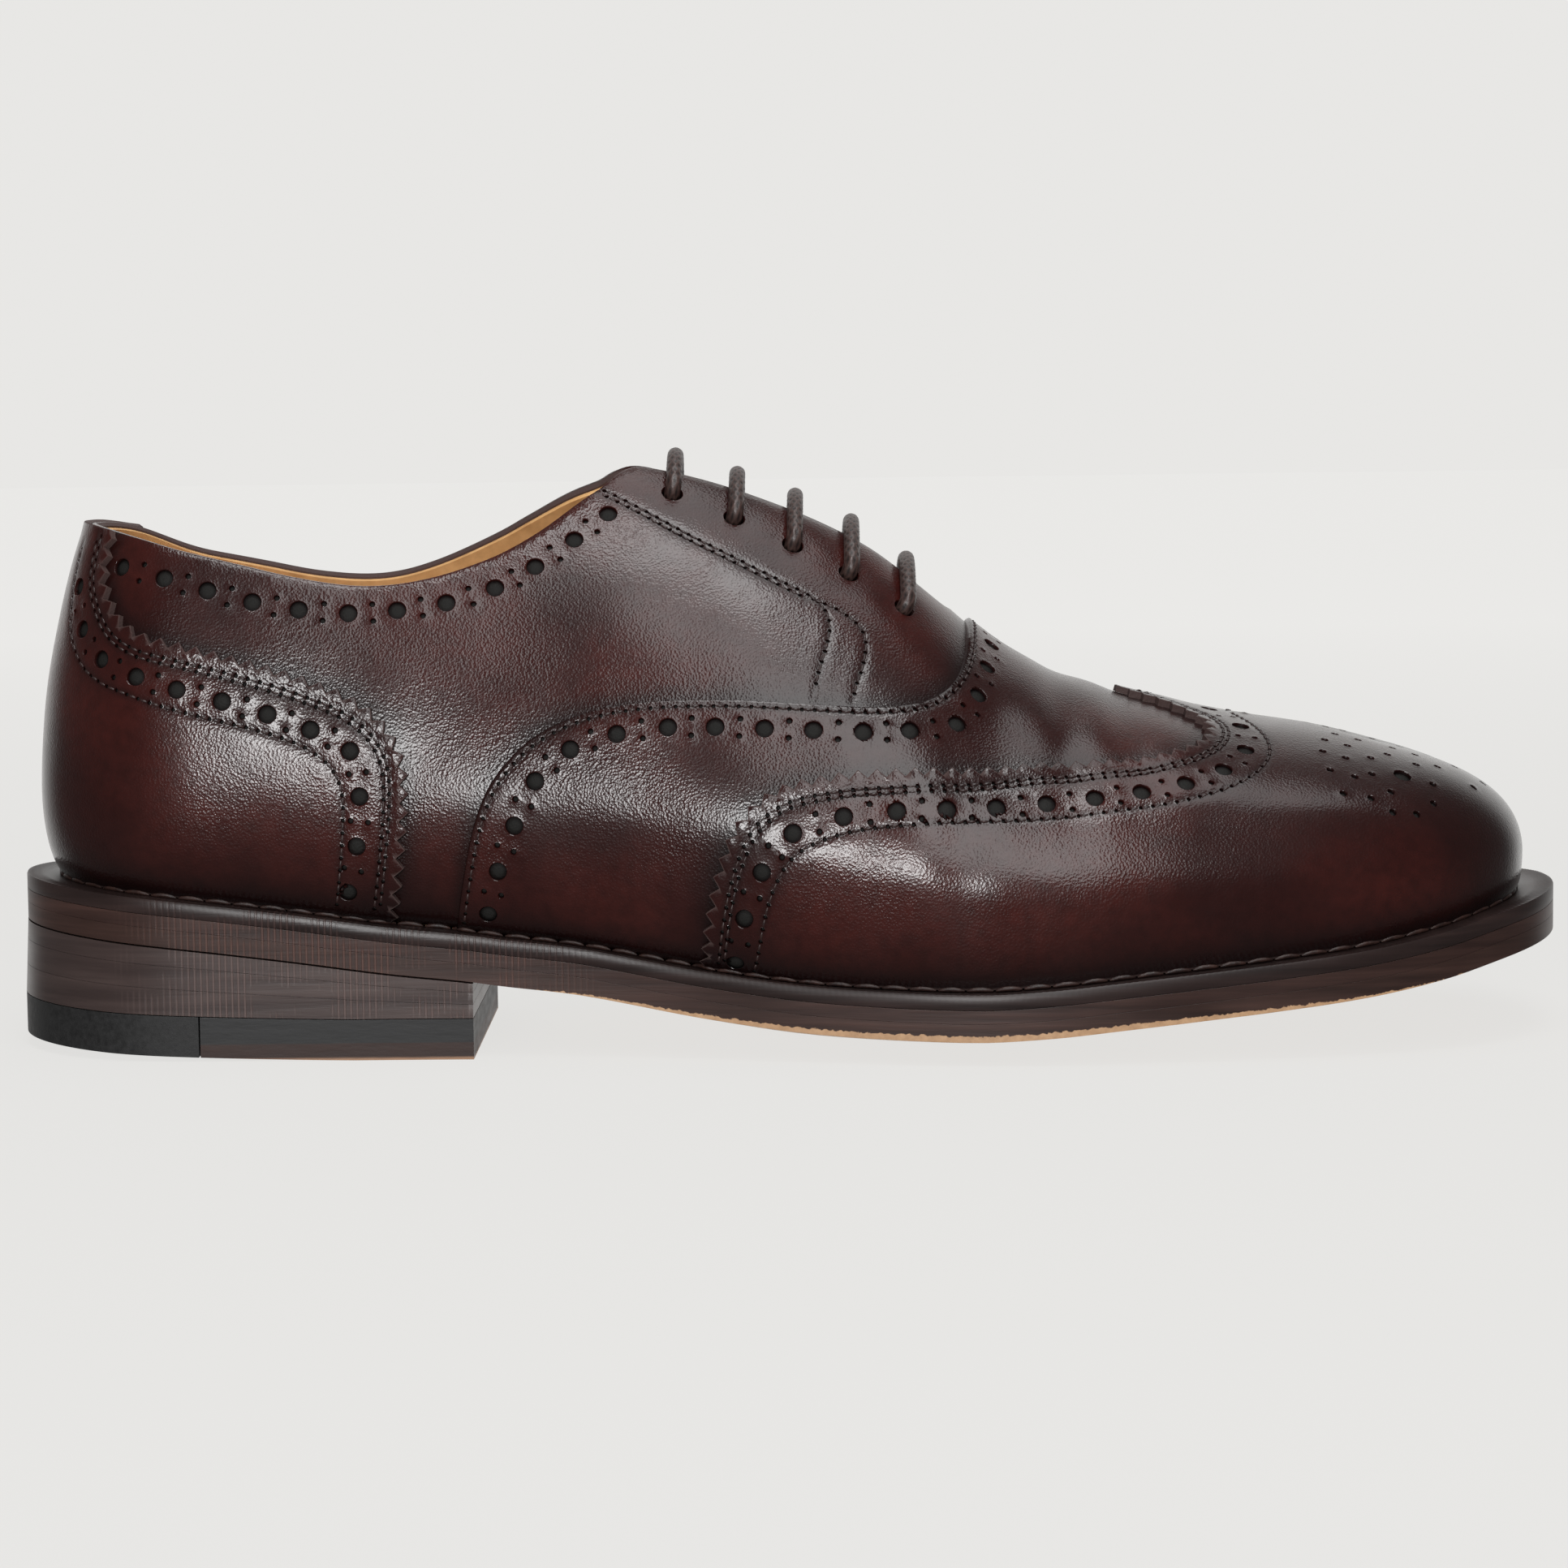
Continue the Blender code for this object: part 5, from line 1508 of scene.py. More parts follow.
def build_vamp():
    sheet = Sheet(vamp_border(BORDER_STEP), flatten)
    rounded_border(sheet, flatten)
    large, pairs = holes_along(VAMP_HOLES)
    sheet.punch(both_sides(large[:-1]), LARGE_HOLE, 16)
    sheet.punch(large[-1:], LARGE_HOLE, 16)
    sheet.punch(both_sides(pairs), SMALL_HOLE, 8)
    seam = parallel(rounded(VAMP_LINE), -VAMP_SEAM_INSET)
    for row in (seam, mirrored(seam)):
        sheet.sew(row)
    sheet.add(lattice_of(5.2, ROUND - 5.2), 0.55 * SHEET_STEP)
    sheet.shade(rounded(WING_LINE), 0.0034)
    high = OVERLAY_GAP + OVERLAY
    sheet.finish(
        "vamp_leather", MATERIAL["leather"], high, -0.0001, "folded", creased, ["vamp"]
    )


def build_wing_cap():
    teeth = pinked(evenly(rounded(WING_LINE), BORDER_STEP))
    base = feather(WING_LINE[0][0], ROUND - WING_LINE[0][0], BORDER_STEP)
    border = np.concatenate([base[:-1], mirrored(teeth)[::-1][:-1], teeth[::-1][:-1]])
    sheet = Sheet(border, flatten)
    sheet.add(inset_marks(sheet.border, 0.0003, flatten), 0.00018)
    large, pairs = holes_along(WING_HOLES)
    sheet.punch(both_sides(large), LARGE_HOLE, 16)
    sheet.punch(both_sides(pairs), SMALL_HOLE, 8)
    pole = flatten([(TOE_STATION, 1.0)])[0]
    for dots, radius, segments in ((MEDALLION, DOT_HOLE, 8), (MEDALLION_LARGE, LARGE_HOLE, 16)):
        spots = np.array(dots)
        aside = spots[spots[:, 1] > 0.0001]
        every = np.concatenate([pole + spots, pole + aside * [1, -1]])
        sheet.punch(unflatten(every), radius, segments)
    rows = [parallel(rounded(WING_LINE), -distance) for distance in PINKED_SEAMS]
    rows.append(evenly(rounded(WING_SEAM), STRIDE))
    for number, row in enumerate(rows):
        for side in (row, mirrored(row)):
            sheet.sew(side, 0.5 * (number == 1))
    sheet.add(lattice_of(7.2, ROUND - 7.2), 0.55 * SHEET_STEP)
    high = 2 * (OVERLAY_GAP + OVERLAY)
    foot = OVERLAY_GAP + OVERLAY - 0.0002
    sheet.finish(
        "wing_cap_leather", MATERIAL["cap_leather"], high, foot, "cut", curled, ["wing_cap"]
    )


def build_counter():
    line = evenly(rounded(COUNTER_LINE), BORDER_STEP)
    teeth = pinked(line)
    base = feather(0, COUNTER_LINE[-1][0], BORDER_STEP)
    top = evenly(rounded([(s, r - 0.003) for s, r in COLLAR_LINE[:3]]), BORDER_STEP)
    outer = np.concatenate([base[1:-1], teeth[::-1][:-1], top[::-1][:-1]])
    border = np.concatenate([[[0.0, 0.0]], outer, [top[0]], mirrored(outer)])
    sheet = Sheet(border, unroll)
    sheet.add(inset_marks(border, 0.0003, unroll), 0.00018)
    large, pairs = holes_along(COUNTER_HOLES)
    sheet.punch(both_sides(large), LARGE_HOLE, 16)
    sheet.punch(both_sides(pairs), SMALL_HOLE, 8)
    rows = [parallel(rounded(COUNTER_LINE), -distance) for distance in PINKED_SEAMS]
    rows.append(evenly(rounded(COUNTER_SEAM), STRIDE))
    for number, row in enumerate(rows):
        for side in (row, mirrored(row)):
            sheet.sew(side, 0.5 * (number == 1))
    heel = spread((0, 5.4), (0.004, 0.72), SHEET_STEP)
    sheet.add(np.concatenate([heel, mirrored(heel)]), 0.55 * SHEET_STEP)
    high = OVERLAY_GAP + OVERLAY
    name = "heel_counter_leather"
    sheet.finish(
        name, MATERIAL["cap_leather"], high, -0.0001, "cut", curled, ["heel_counter"]
    )


QUARTER_FRONT = ((7.8, 0.0), (8.2, 0.3), (10.4, 0.45), (10.4, 1.0))


def build_quarters():
    """The rear of the upper, from one facing round the heel to the other, with its rolled top edge."""
    top = evenly(rounded(COLLAR_LINE), BORDER_STEP)
    base = feather(0, QUARTER_FRONT[0][0], 0.002)
    front = evenly(np.array(QUARTER_FRONT), 0.002)
    ridge = evenly(np.array([QUARTER_FRONT[-1], COLLAR_LINE[-1]]), 0.002)
    below = np.concatenate([base[1:-1], front[:-1], ridge[:-1]])
    outer = np.concatenate([below, top[::-1]])
    border = np.concatenate([[[0.0, 0.0]], outer, mirrored(raised_collar(top))[::-1][1:], mirrored(below)])
    sheet = Sheet(border, unroll)
    for reach in (0.00025, 0.0007):
        sheet.add(inset_marks(border, reach, unroll), 0.00018)
    large, pairs = holes_along(COLLAR_HOLES)
    inner_large, inner_pairs = holes_along(raised_collar(np.array(COLLAR_HOLES)))
    sheet.punch(np.concatenate([large, mirrored(inner_large)]), LARGE_HOLE, 16)
    sheet.punch(np.concatenate([pairs, mirrored(inner_pairs)]), SMALL_HOLE, 8)
    sheet.punch(both_sides(np.array(EYELETS)), EYELET_RADIUS, 16, 0.0019)
    facing = evenly(rounded(FACING_SEAM), STRIDE)
    pair_end = np.argmin(np.abs(facing[:, 0] - 8.38) + np.abs(facing[:, 1] - 0.712))
    first = parallel(facing, FACING_PAIR)
    second = parallel(facing[: pair_end + 1], -FACING_PAIR)
    branch = evenly(rounded(FACING_BRANCH), STRIDE)
    for number, row in enumerate((first, second, branch)):
        for side in (row, mirrored(row)):
            sheet.sew(side, 0.5 * (number == 1))
    rear = spread((0, QUARTER_FRONT[-1][0]), (0.004, 0.997), SHEET_STEP)
    sheet.add(np.concatenate([rear, mirrored(rear)]), 0.55 * SHEET_STEP)
    sheet.shade(rounded(COUNTER_LINE), 0.0034)
    sheet.shade(rounded(VAMP_LINE), 0.0030)
    lip = ((-0.0011, 0.0), (-WALL, 0.0004), (-WALL - 0.0001, 0.0026))
    leather = MATERIAL["leather"]
    sheet.finish("quarters", leather, 0.0, 0.0, "collar", quarter_relief, ["upper"], lip)


def quarter_relief(marks, away):
    """Lasted leather that swells a little, drawn in round the eyelets."""
    points = on_surface(marks)[0]
    height = SWELL * smooth_noise(points, SWELL_SIZE, 3.0)
    for station, rise in EYELETS:
        for side in (station, ROUND - station):
            gap = np.linalg.norm(points - on_surface([(side, rise)])[0][0], axis=1)
            height -= 0.00025 * np.exp(-((gap / 0.0042) ** 2))
    return height


def build_lining():
    """The tan lining inside the upper, ending a little below its rolled edge."""
    edge = evenly(rounded(COLLAR_LINE[:-1]), 0.0016)
    top = shift(edge, headings(edge)[3] * -LINING_DROP)
    edge = raised_collar(edge)
    inner_top = mirrored(shift(edge, headings(edge)[3] * -LINING_DROP))
    base = feather(0, 16.9, 0.003)
    ridge = evenly(np.array([(16.9, 0.985), (10.0, 0.995), (9.62, 0.985)]), 0.003)
    below = np.concatenate([base[1:], ridge[:-1]])
    border = np.concatenate([[[0.0, 0.0]], below, top[::-1][:-1], inner_top[::-1], mirrored(below)])
    sheet = Sheet(border, unroll)
    side = spread((0, 16.9), (0.01, 0.98), 0.003)
    sheet.add(np.concatenate([side, mirrored(side)]), 0.0016)
    sheet.finish("lining", MATERIAL["lining"], -WALL - LINING, -WALL, "cut")


def build_tongue_piece():
    sheet = Sheet(tongue_border(BORDER_STEP), flatten)
    rounded_border(sheet, flatten)
    sheet.add(lattice_of(6.3, ROUND - 6.3, (0.55, 0.999)), 0.55 * SHEET_STEP)
    high = -(WALL + TONGUE_GAP)

    def relief(marks, away):
        points = on_surface(marks)[0]
        return 0.0005 * smooth_noise(points, 0.012, 7.0)

    name = "tongue_leather"
    sheet.finish(
        name, MATERIAL["tongue"], high, high - TONGUE_THICKNESS, "folded",
        relief, ["tongue"]
    )


def lace_line(mark):
    """Centre line of one lace bar, down through both of its eyelets and a little under the facings."""
    start = flatten([mark])[0]
    end = flatten([(ROUND - mark[0], mark[1])])[0]
    span = np.linalg.norm(end - start)
    bend, rise = 0.0015, 0.0001
    profile = [(0.0, -0.0020), (0.0, -0.0012), (0.0, -0.0005)]
    for turn in np.radians(np.arange(0, 91, 15)):
        profile.append((bend * (1 - math.cos(turn)), rise + bend * math.sin(turn)))
    for share in (0.2, 0.3, 0.4):
        profile.append((share * span, rise + bend))
    profile.append((0.5 * span, rise + bend))
    profile += [(span - run, lift) for run, lift in profile[-2::-1]]
    path = [on_surface(unflatten([start + (end - start) * run / span]), lift)[0][0] for run, lift in profile]
    return np.array(path)


def resampled(path, step):
    """A smooth path through the points, in even steps."""
    knots = np.concatenate([[0], np.cumsum(np.sqrt(np.linalg.norm(np.diff(path, axis=0), axis=1)))])
    slope = np.gradient(path, knots, axis=0)
    fine = []
    for i in range(len(path) - 1):
        span = knots[i + 1] - knots[i]
        for f in np.arange(10) / 10:
            start = (1 + 2 * f) * (1 - f) ** 2 * path[i] + f * (1 - f) ** 2 * span * slope[i]
            end = f * f * (3 - 2 * f) * path[i + 1] - f * f * (1 - f) * span * slope[i + 1]
            fine.append(start + end)
    fine = np.array(fine + [path[-1]])
    run = np.concatenate([[0], np.cumsum(np.linalg.norm(np.diff(fine, axis=0), axis=1))])
    at = np.linspace(0, run[-1], int(run[-1] / step))
    return np.stack([np.interp(at, run, fine[:, k]) for k in range(3)], -1)


LACE_SIDES = 28
LACE_PLAIT = 0.0026
LACE_STRANDS = 7


def build_laces():
    for number, mark in enumerate(EYELETS, start=1):
        path = resampled(lace_line(mark), 0.00028)
        run = np.arange(len(path)) * 0.00028
        ahead = np.gradient(path, axis=0)
        ahead /= np.linalg.norm(ahead, axis=1, keepdims=True)
        aside = np.array([1.0, 0.0, 0.0])
        points, strand_shade = [], []
        for centre, way, at in zip(path, ahead, run):
            aside = aside - way * (aside @ way)
            aside /= np.linalg.norm(aside)
            up = np.cross(way, aside)
            for k in range(LACE_SIDES):
                turn = 2 * math.pi * k / LACE_SIDES
                left = math.sin(LACE_STRANDS * turn + 2 * math.pi * at / LACE_PLAIT)
                right = math.sin(LACE_STRANDS * turn - 2 * math.pi * at / LACE_PLAIT)
                over = max(left, right)
                reach = LACE_RADIUS * (0.94 + 0.06 * over)
                points.append(centre + reach * (math.cos(turn) * aside + math.sin(turn) * up))
                # Painted shade in the hollows between the plait's strands.
                strand_shade.append(0.5 - 0.5 * over)
        faces = []
        for ring in range(len(path) - 1):
            for k in range(LACE_SIDES):
                a, b = ring * LACE_SIDES + k, ring * LACE_SIDES + (k + 1) % LACE_SIDES
                faces.append((a, b, b + LACE_SIDES, a + LACE_SIDES))
        last = (len(path) - 1) * LACE_SIDES
        faces += [tuple(range(LACE_SIDES))[::-1], tuple(last + k for k in range(LACE_SIDES))]
        fields = {"burnish_and_shade": strand_shade}
        name = f"lace_{number}"
        add_piece(name, points, faces, MATERIAL["lace"], [f"lace_bar_{number}"], fields, 60)


# Sole and heel finish
RING_COUNT = 1360
WHEEL_PITCH = 0.0013
WHEEL_DEPTH = 0.00016
WELT_BEVEL = 0.0006
JOINT_FILL = 0.00022
EDGE_BEVEL = 0.00005
LIFT_BEVEL = 0.00003
TOP_PIECE_BEVEL = 0.00008
INSEAM_PITCH = 0.0053
INSEAM_RADIUS = 0.0005
BARE_EDGE = 0.0016
BARE_SPAN = (-0.060, 0.135)
CUT_CLEAR = 0.0005


def fine_ring(extra):
    """Plan points round the foot, evenly spaced, at the feather plus an extra reach."""
    q = section(np.arange(ROUND * 60) / 60)
    ring = np.stack([q["x"], q["y"]], -1) + (q["feather"] + extra(q["reach"]))[:, None] * q["way"]
    closed = np.concatenate([ring, ring[:1]])
    run = np.concatenate([[0], np.cumsum(np.linalg.norm(np.diff(closed, axis=0), axis=1))])
    at = np.arange(RING_COUNT) * run[-1] / RING_COUNT
    return np.stack([np.interp(at, run, closed[:, k]) for k in (0, 1)], -1)


def plan_inset(ring, distance):
    """A closed plan loop moved towards its inside."""
    ahead = np.roll(ring, -1, axis=0) - np.roll(ring, 1, axis=0)
    ahead /= np.linalg.norm(ahead, axis=1, keepdims=True) + 1e-12
    left = np.stack([-ahead[:, 1], ahead[:, 0]], -1)
    after = np.roll(ring, -1, axis=0)
    area = (ring[:, 0] * after[:, 1] - ring[:, 1] * after[:, 0]).sum()
    return ring + math.copysign(distance, area) * left


def slab(name, ring, inner, bottom, top, bevel, material, replaced, fields=None):
    """A solid plate between two sheets of plan points, with its edges rounded."""
    inset = plan_inset(ring, bevel)
    corners = triangles([inset], inner)
    flat = np.concatenate([inset, inner]) if len(inner) else inset
    upper_face, lower_face = top(flat), bottom(flat)
    steps = np.radians(np.arange(0, 91, 30))
    rings = []
    for turn in steps[1:]:
        reach = bevel * (1 - math.sin(turn))
        points = top(plan_inset(ring, reach)) if reach > 1e-9 else top(ring)
        points[:, 2] -= bevel * (1 - math.cos(turn))
        rings.append(points)
    for turn in steps[1:][::-1]:
        reach = bevel * (1 - math.sin(turn))
        points = bottom(plan_inset(ring, reach)) if reach > 1e-9 else bottom(ring)
        points[:, 2] += bevel * (1 - math.cos(turn))
        rings.append(points)
    count, size = len(flat), len(ring)
    points = np.concatenate([upper_face] + rings + [lower_face])
    low = count + len(rings) * size
    faces = [tuple(face) for face in corners] + [tuple(v + low for v in face[::-1]) for face in corners]
    starts = [0] + [count + k * size for k in range(len(rings))] + [low]
    for first, second in zip(starts, starts[1:]):
        for i in range(size):
            j = (i + 1) % size
            faces.append((first + j, first + i, second + i, second + j))
    after = np.roll(ring, -1, axis=0)
    if (ring[:, 0] * after[:, 1] - ring[:, 1] * after[:, 0]).sum() < 0:
        faces = faces[: 2 * len(corners)] + [face[::-1] for face in faces[2 * len(corners) :]]
    values = {key: make(points) for key, make in (fields or {}).items()}
    return add_piece(name, points, faces, material, replaced, values, 10)


def grid_inside(ring, step, margin):
    """Plan lattice points inside a loop, clear of it."""
    low, high = ring.min(axis=0), ring.max(axis=0)
    xs = np.arange(low[0], high[0], step)
    ys = np.arange(low[1], high[1], step)
    spots = np.array([(x, y + 0.5 * step * (i % 2)) for i, x in enumerate(xs) for y in ys])
    spots = spots[inside(spots, [ring])]
    return spots[clear_of(spots, [ring[::4]], margin)]


def build_welt():
    q = section(np.arange(ROUND * 60) / 60)
    edge = np.stack([q["x"], q["y"]], -1) + (q["feather"] + q["reach"])[:, None] * q["way"]
    loop = np.concatenate([edge, edge[:1]])
    run = np.concatenate([[0], np.cumsum(np.linalg.norm(np.diff(loop, axis=0), axis=1))])
    count = 2 * int(run[-1] / WHEEL_PITCH) * 2
    at = np.arange(count) * run[-1] / count
    station = np.interp(at, run, np.arange(len(run)) / 60)
    q = section(station)
    welt_low = lambda x: edge_height(x) + OUTSOLE + MIDSOLE + 2 * GAP
    wheel = 0.5 - 0.5 * np.cos(2 * math.pi * np.arange(count) / 4)
    profile = (
        (0.0, -0.0020, 1.0, 0.0, 0.0),
        (0.0, 0.0003, 1.0, 0.0, 0.0),
        (0.30, 0.0, 1.0, -0.0001, 0.0),
        (0.50, 0.0, 1.0, -0.0004, 0.0),
        (0.62, 0.0, 1.0, -0.0001, 0.3),
        (1.0, -0.0011, 1.0, 0.0, 1.0),
        (1.0, -WELT_BEVEL, 1.0, -0.00008, 0.8),
        (1.0, -0.3 * WELT_BEVEL, 1.0, -0.3 * WELT_BEVEL, 0.4),
        (1.0, 0.0, 1.0, -WELT_BEVEL, 0.0),
        (1.0, 0.0, 0.0, EDGE_BEVEL, 0.0),
        (1.0, -0.3 * EDGE_BEVEL, 0.0, 0.3 * EDGE_BEVEL, 0.0),
        (1.0, -EDGE_BEVEL, 0.0, 0.0, 0.0),
        (0.0, -0.0020, 0.0, 0.0, 0.0),
    )
    points, burn_and_shade = [], []
    for share, shift_out, at_top, lift, marked in profile:
        reach = q["feather"] + share * q["reach"] + shift_out
        flat = np.stack([q["x"], q["y"]], -1) + reach[:, None] * q["way"]
        height = welt_low(flat[:, 0]) + at_top * WELT + lift - marked * WHEEL_DEPTH * wheel
        points.append(np.column_stack([flat, height]))
        # Darker in the wheel's dents, as painted shade; the welt's finish does not read this field.
        burn_and_shade.append(np.clip(0.2 + 0.5 * marked * wheel, 0, 1))
    faces = []
    size = count
    for k in range(len(profile)):
        first, second = k * size, ((k + 1) % len(profile)) * size
        for i in range(size):
            j = (i + 1) % size
            faces.append((first + i, first + j, second + j, second + i))
    every = np.concatenate(points)
    a, b, c = every[faces[size * 2][0]], every[faces[size * 2][1]], every[faces[size * 2][2]]
    if np.cross(b - a, c - a)[2] < 0:
        faces = [face[::-1] for face in faces]
    fields = {"burnish_and_shade": np.concatenate(burn_and_shade)}
    add_piece("welt_strip", every, faces, MATERIAL["welt"], ["welt"], fields, 30)


def layer_lift(station):
    """How far the outermost leather stands off the last at the feather."""
    outer = np.where(station > TOE_STATION, ROUND - station, station)
    lift = np.where(outer < COUNTER_LINE[-1][0], 1.0, 0.0)
    lift = np.where(outer > VAMP_LINE[0][0], 1.0, lift)
    lift = np.where(outer > WING_LINE[0][0], 2.0, lift)
    return lift * (OVERLAY_GAP + OVERLAY)


def build_inseam():
    """The thick waxed thread that shows in the joint between upper and welt."""
    marks = feather(0, ROUND, 0.0012)
    run = walked(marks)
    count = int(run[-1] / INSEAM_PITCH)
    points, faces = [], []
    shape = ((-0.46, 0.3), (-0.34, 0.8), (-0.12, 1.0), (0.12, 1.0), (0.34, 0.8), (0.46, 0.3))
    sides = 8
    for number in range(count):
        at = (number + 0.5) * INSEAM_PITCH + np.array([s[0] for s in shape]) * INSEAM_PITCH
        line = at_distance(marks, np.clip(at, 0, run[-1]))
        spot, normal, _, left = headings(line)
        lift = layer_lift(line[:, 0])
        centres = []
        for k, (place, _) in enumerate(shape):
            arch = 0.00035 * (1 - (2 * place) ** 2)
            centres.append(spot[k] + (lift[k] + 0.0001) * normal[k] + np.array([0, 0, -0.0002 + arch]))
        reaches = [wide * INSEAM_RADIUS for _, wide in shape]
        add_tube(points, faces, centres, reaches, (left, normal), sides)
    add_piece("inseam_thread", points, faces, MATERIAL["inseam"], sharp=0)


def build_sole_pieces():
    ring = fine_ring(lambda reach: reach)
    middle_low = lambda x: edge_height(x) + OUTSOLE + GAP
    none = np.zeros((0, 2))
    edge = MATERIAL["sole_edge"]
    low = level(lambda x: middle_low(x) - JOINT_FILL)
    high = level(lambda x: middle_low(x) + MIDSOLE + JOINT_FILL)
    slab("midsole_layer", ring, none, low, high, EDGE_BEVEL, edge, ["midsole"])

    def bare(points):
        """Millimetres that a point lies below the stain's edge, on the tread and the edge's foot."""
        x = points[:, 0]
        share = np.clip((x - BARE_SPAN[0]) / (BARE_SPAN[1] - BARE_SPAN[0]), 0, 1)
        width = BARE_EDGE * np.sin(math.pi * share) ** 0.7 - 0.0007
        above = points[:, 2] - edge_height(x)
        return (width - above) / 0.001

    def outsole_low(flat):
        return tread(flat)

    inner = grid_inside(ring, 0.0045, 0.003)
    top = level(lambda x: edge_height(x) + OUTSOLE + 0.25 * JOINT_FILL)
    fields = {"bare": bare}
    slab(
        "outsole_layer", ring, inner, outsole_low, top, EDGE_BEVEL, MATERIAL["outsole"],
        ["outsole"], fields
    )
    bed = fine_ring(lambda reach: -INSOLE_INSET)
    welt_low = lambda x: edge_height(x) + OUTSOLE + MIDSOLE + 2 * GAP
    spots = grid_inside(bed, 0.005, 0.003)
    high = level(lambda x: seat_height(x) + INSOLE_RISE)
    slab("sock", bed, spots, level(welt_low), high, 0.0012, MATERIAL["lining"], ["insole"])


def build_heel_pieces():
    outline = fine_ring(lambda reach: reach)
    breast = outline[:, 0].min() + HEEL_LENGTH

    def floor_line(x):
        worn = np.clip((breast - HEEL_FLAT - x) / (HEEL_LENGTH - HEEL_FLAT), 0, 1)
        return HEEL_WEAR * worn**WEAR_CURVE

    def sheet(share, lift=0.0):
        def points(flat):
            x = flat[:, 0]
            seat = sole_centre(x) - CONTACT_DEPTH - GAP
            foot = floor_line(x) + TOP_PIECE
            height = foot + share * (seat - foot) + lift
            flare = 1 + HEEL_FLARE / HEEL_LENGTH * (1 - height / HEEL_HEIGHT)
            centre = np.array([breast, 0.0])
            return np.column_stack([centre + (flat - centre) * flare[:, None], height])

        return points

    def loop_between(low_x, high_x):
        """The heel's plan outline between two crosswise cuts."""
        part = outline[(outline[:, 0] > low_x + CUT_CLEAR) & (outline[:, 0] < high_x - CUT_CLEAR)]
        sides = []
        for sign in (-1, 1):
            side = outline[outline[:, 1] * sign > 0.01]
            side = side[np.argsort(side[:, 0])]
            sides.append(side)
        cuts = []
        for x in (low_x, high_x):
            if x > outline[:, 0].min():
                ends = [np.interp(x, side[:, 0], side[:, 1]) for side in sides]
                across = np.linspace(0, 1, 60)
                cuts.append(np.stack([0 * across + x, ends[0] + across * (ends[1] - ends[0])], -1))
        every = np.concatenate([part] + cuts)
        middle = np.array([(max(low_x, outline[:, 0].min()) + high_x) / 2, 0.0])
        turn = np.arctan2(every[:, 1] - middle[1], every[:, 0] - middle[0])
        every = every[np.argsort(turn)]
        apart = np.linalg.norm(every - np.roll(every, 1, axis=0), axis=1)
        return every[apart > 0.00005]

    whole = loop_between(-1.0, breast)
    inner = grid_inside(whole, 0.006, 0.003)
    edge = MATERIAL["heel_edge"]
    for number in range(3):
        low, high = LIFT_SHARES[number], LIFT_SHARES[number + 1]
        clearance = 0.15 * GAP if high < 1 else 0.0
        name = f"heel_layer_{number + 1}"
        top = sheet(high, -clearance)
        slab(name, whole, inner, sheet(low), top, LIFT_BEVEL, edge, [f"heel_lift_{number + 1}"])

    def ground(flat):
        points = sheet(0.0)(flat)
        points[:, 2] = floor_line(flat[:, 0])
        return points

    split = outline[:, 0].min() + RUBBER_SHARE * HEEL_LENGTH
    rear = loop_between(-1.0, split)
    fore = loop_between(split + GAP, breast)
    for name, rim, material, slot_name, node in (
        ("top_piece_rear", rear, MATERIAL["rubber"], "heel_rubber", "top_piece_rubber"),
        ("top_piece_fore", fore, MATERIAL["top_piece"], "sole_edge", "top_piece_leather"),
    ):
        spots = grid_inside(rim, 0.006, 0.003)
        slab(name, rim, spots, ground, sheet(0.0, -0.5 * GAP), TOP_PIECE_BEVEL, material, [node])


# Camera, floor and light
CAMERA_PLACE = (-0.00115, -0.785, 0.1244)
CAMERA_PITCH = 5.48
CAMERA_ROLL = 0.7
CAMERA_LENS = 90.45
FLOOR_HALF = 6.0
LIGHTS = (
    ("front_softbox", (0.12, -0.94, 0.74), (0.0, 0.0, 0.05), (0.42, 0.82), 4.8),
    ("low_softbox", (-0.20, -1.14, 0.22), (0.0, 0.0, 0.05), (0.26, 0.20), 4.2),
    ("high_softbox", (0.03, -0.42, 1.08), (0.0, 0.0, 0.05), (0.50, 0.30), 4.0),
    ("top_softbox", (0.15, 0.12, 1.15), (0.0, 0.0, 0.05), (0.80, 0.60), 3.0),
)
WORLD_DARK, WORLD_LIGHT = 0.10, 0.806
WORLD_FADE = (0.45, 0.93)
WORLD_TONE = (1.0, 0.991, 0.971, 1.0)


def aim(thing, place, target):
    thing.location = place
    way = Vector(target) - Vector(place)
    thing.rotation_euler = way.to_track_quat("-Z", "Y").to_euler()


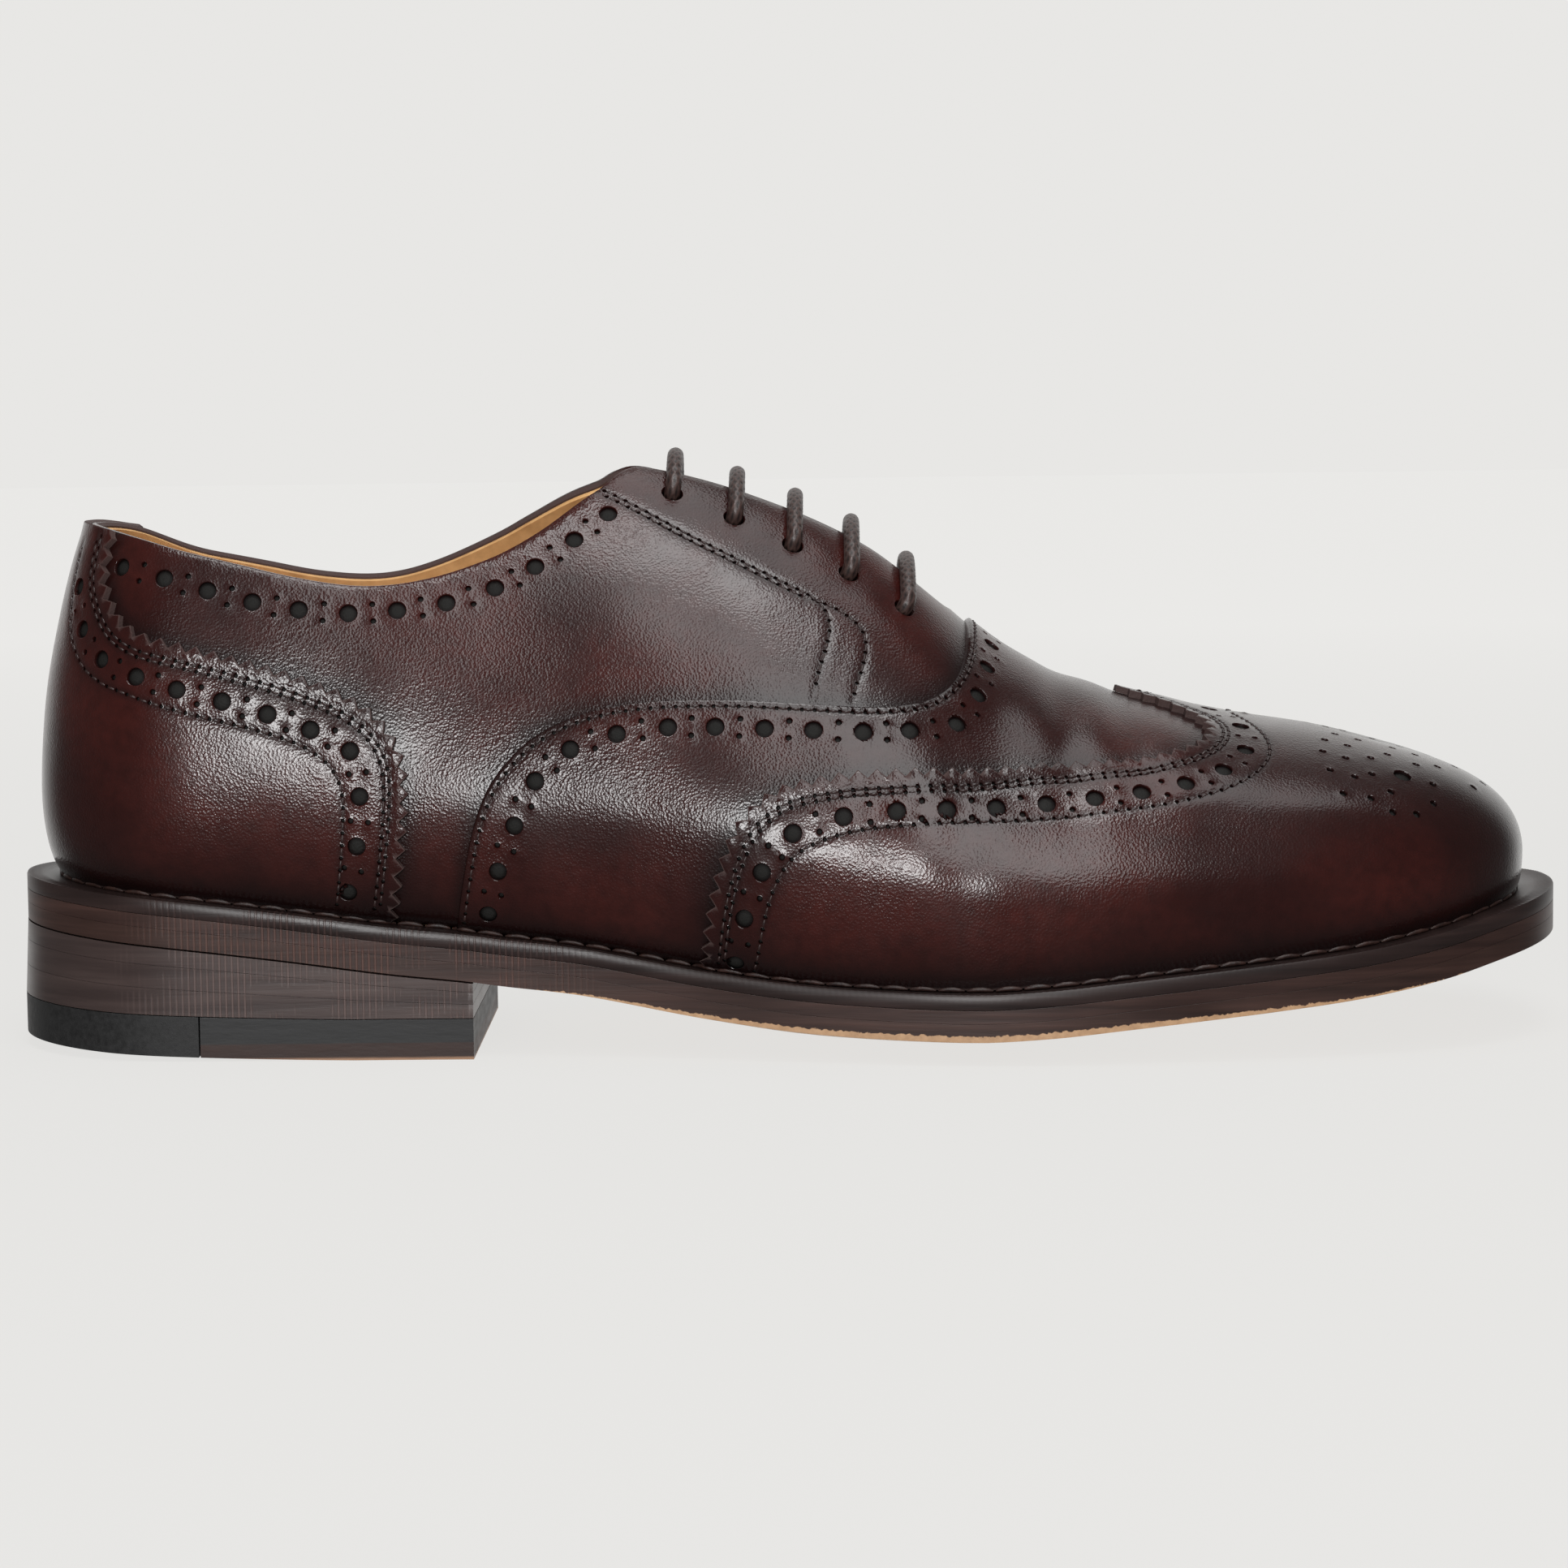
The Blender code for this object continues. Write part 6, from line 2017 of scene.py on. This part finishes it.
def build_stage():
    mesh = bpy.data.meshes.new("floor")
    h = FLOOR_HALF
    mesh.from_pydata([(-h, -h, 0), (h, -h, 0), (h, h, 0), (-h, h, 0)], [], [(0, 1, 2, 3)])
    mesh.materials.append(MATERIAL["floor"])
    floor = bpy.data.objects.new("floor", mesh)
    bpy.context.scene.collection.objects.link(floor)
    floor.visible_glossy = False
    for name, place, target, size, power in LIGHTS:
        lamp = bpy.data.lights.new(name, "AREA")
        lamp.shape = "RECTANGLE"
        lamp.size, lamp.size_y = size
        lamp.energy = power
        box = bpy.data.objects.new(name, lamp)
        bpy.context.scene.collection.objects.link(box)
        box.visible_camera = False
        aim(box, place, target)
    bpy.context.scene.view_settings.view_transform = "Standard"
    world = bpy.data.worlds.new("studio")
    bpy.context.scene.world = world
    world.use_nodes = True
    tree = world.node_tree
    spot = tree.nodes.new("ShaderNodeTexCoord")
    split = tree.nodes.new("ShaderNodeSeparateXYZ")
    tree.links.new(spot.outputs["Generated"], split.inputs[0])
    fade = tree.nodes.new("ShaderNodeMapRange")
    fade.interpolation_type = "SMOOTHSTEP"
    fade.inputs["From Min"].default_value = WORLD_FADE[0]
    fade.inputs["From Max"].default_value = WORLD_FADE[1]
    fade.inputs["To Min"].default_value = WORLD_DARK
    fade.inputs["To Max"].default_value = WORLD_LIGHT
    tree.links.new(split.outputs["Y"], fade.inputs["Value"])
    tree.links.new(fade.outputs["Result"], tree.nodes["Background"].inputs["Strength"])
    tree.nodes["Background"].inputs["Color"].default_value = WORLD_TONE


def build_camera():
    pitch, roll = math.radians(CAMERA_PITCH), math.radians(CAMERA_ROLL)
    forward = Vector((0, math.cos(pitch), -math.sin(pitch)))
    right = Vector((1, 0, 0))
    up = Vector((0, math.sin(pitch), math.cos(pitch)))
    turned_right = math.cos(roll) * right - math.sin(roll) * up
    turned_up = math.sin(roll) * right + math.cos(roll) * up
    data = bpy.data.cameras.new("camera")
    data.sensor_width = 36.0
    data.lens = CAMERA_LENS
    data.clip_end = 50.0
    camera = bpy.data.objects.new("camera", data)
    bpy.context.scene.collection.objects.link(camera)
    axes = Matrix((turned_right, turned_up, -forward)).transposed()
    camera.matrix_world = Matrix.Translation(CAMERA_PLACE) @ axes.to_4x4()
    bpy.context.scene.camera = camera


build_camera()
build_stage()
build_quarters()
build_lining()
build_vamp()
build_wing_cap()
build_counter()
build_tongue_piece()
build_laces()
build_welt()
build_inseam()
build_sole_pieces()
build_heel_pieces()
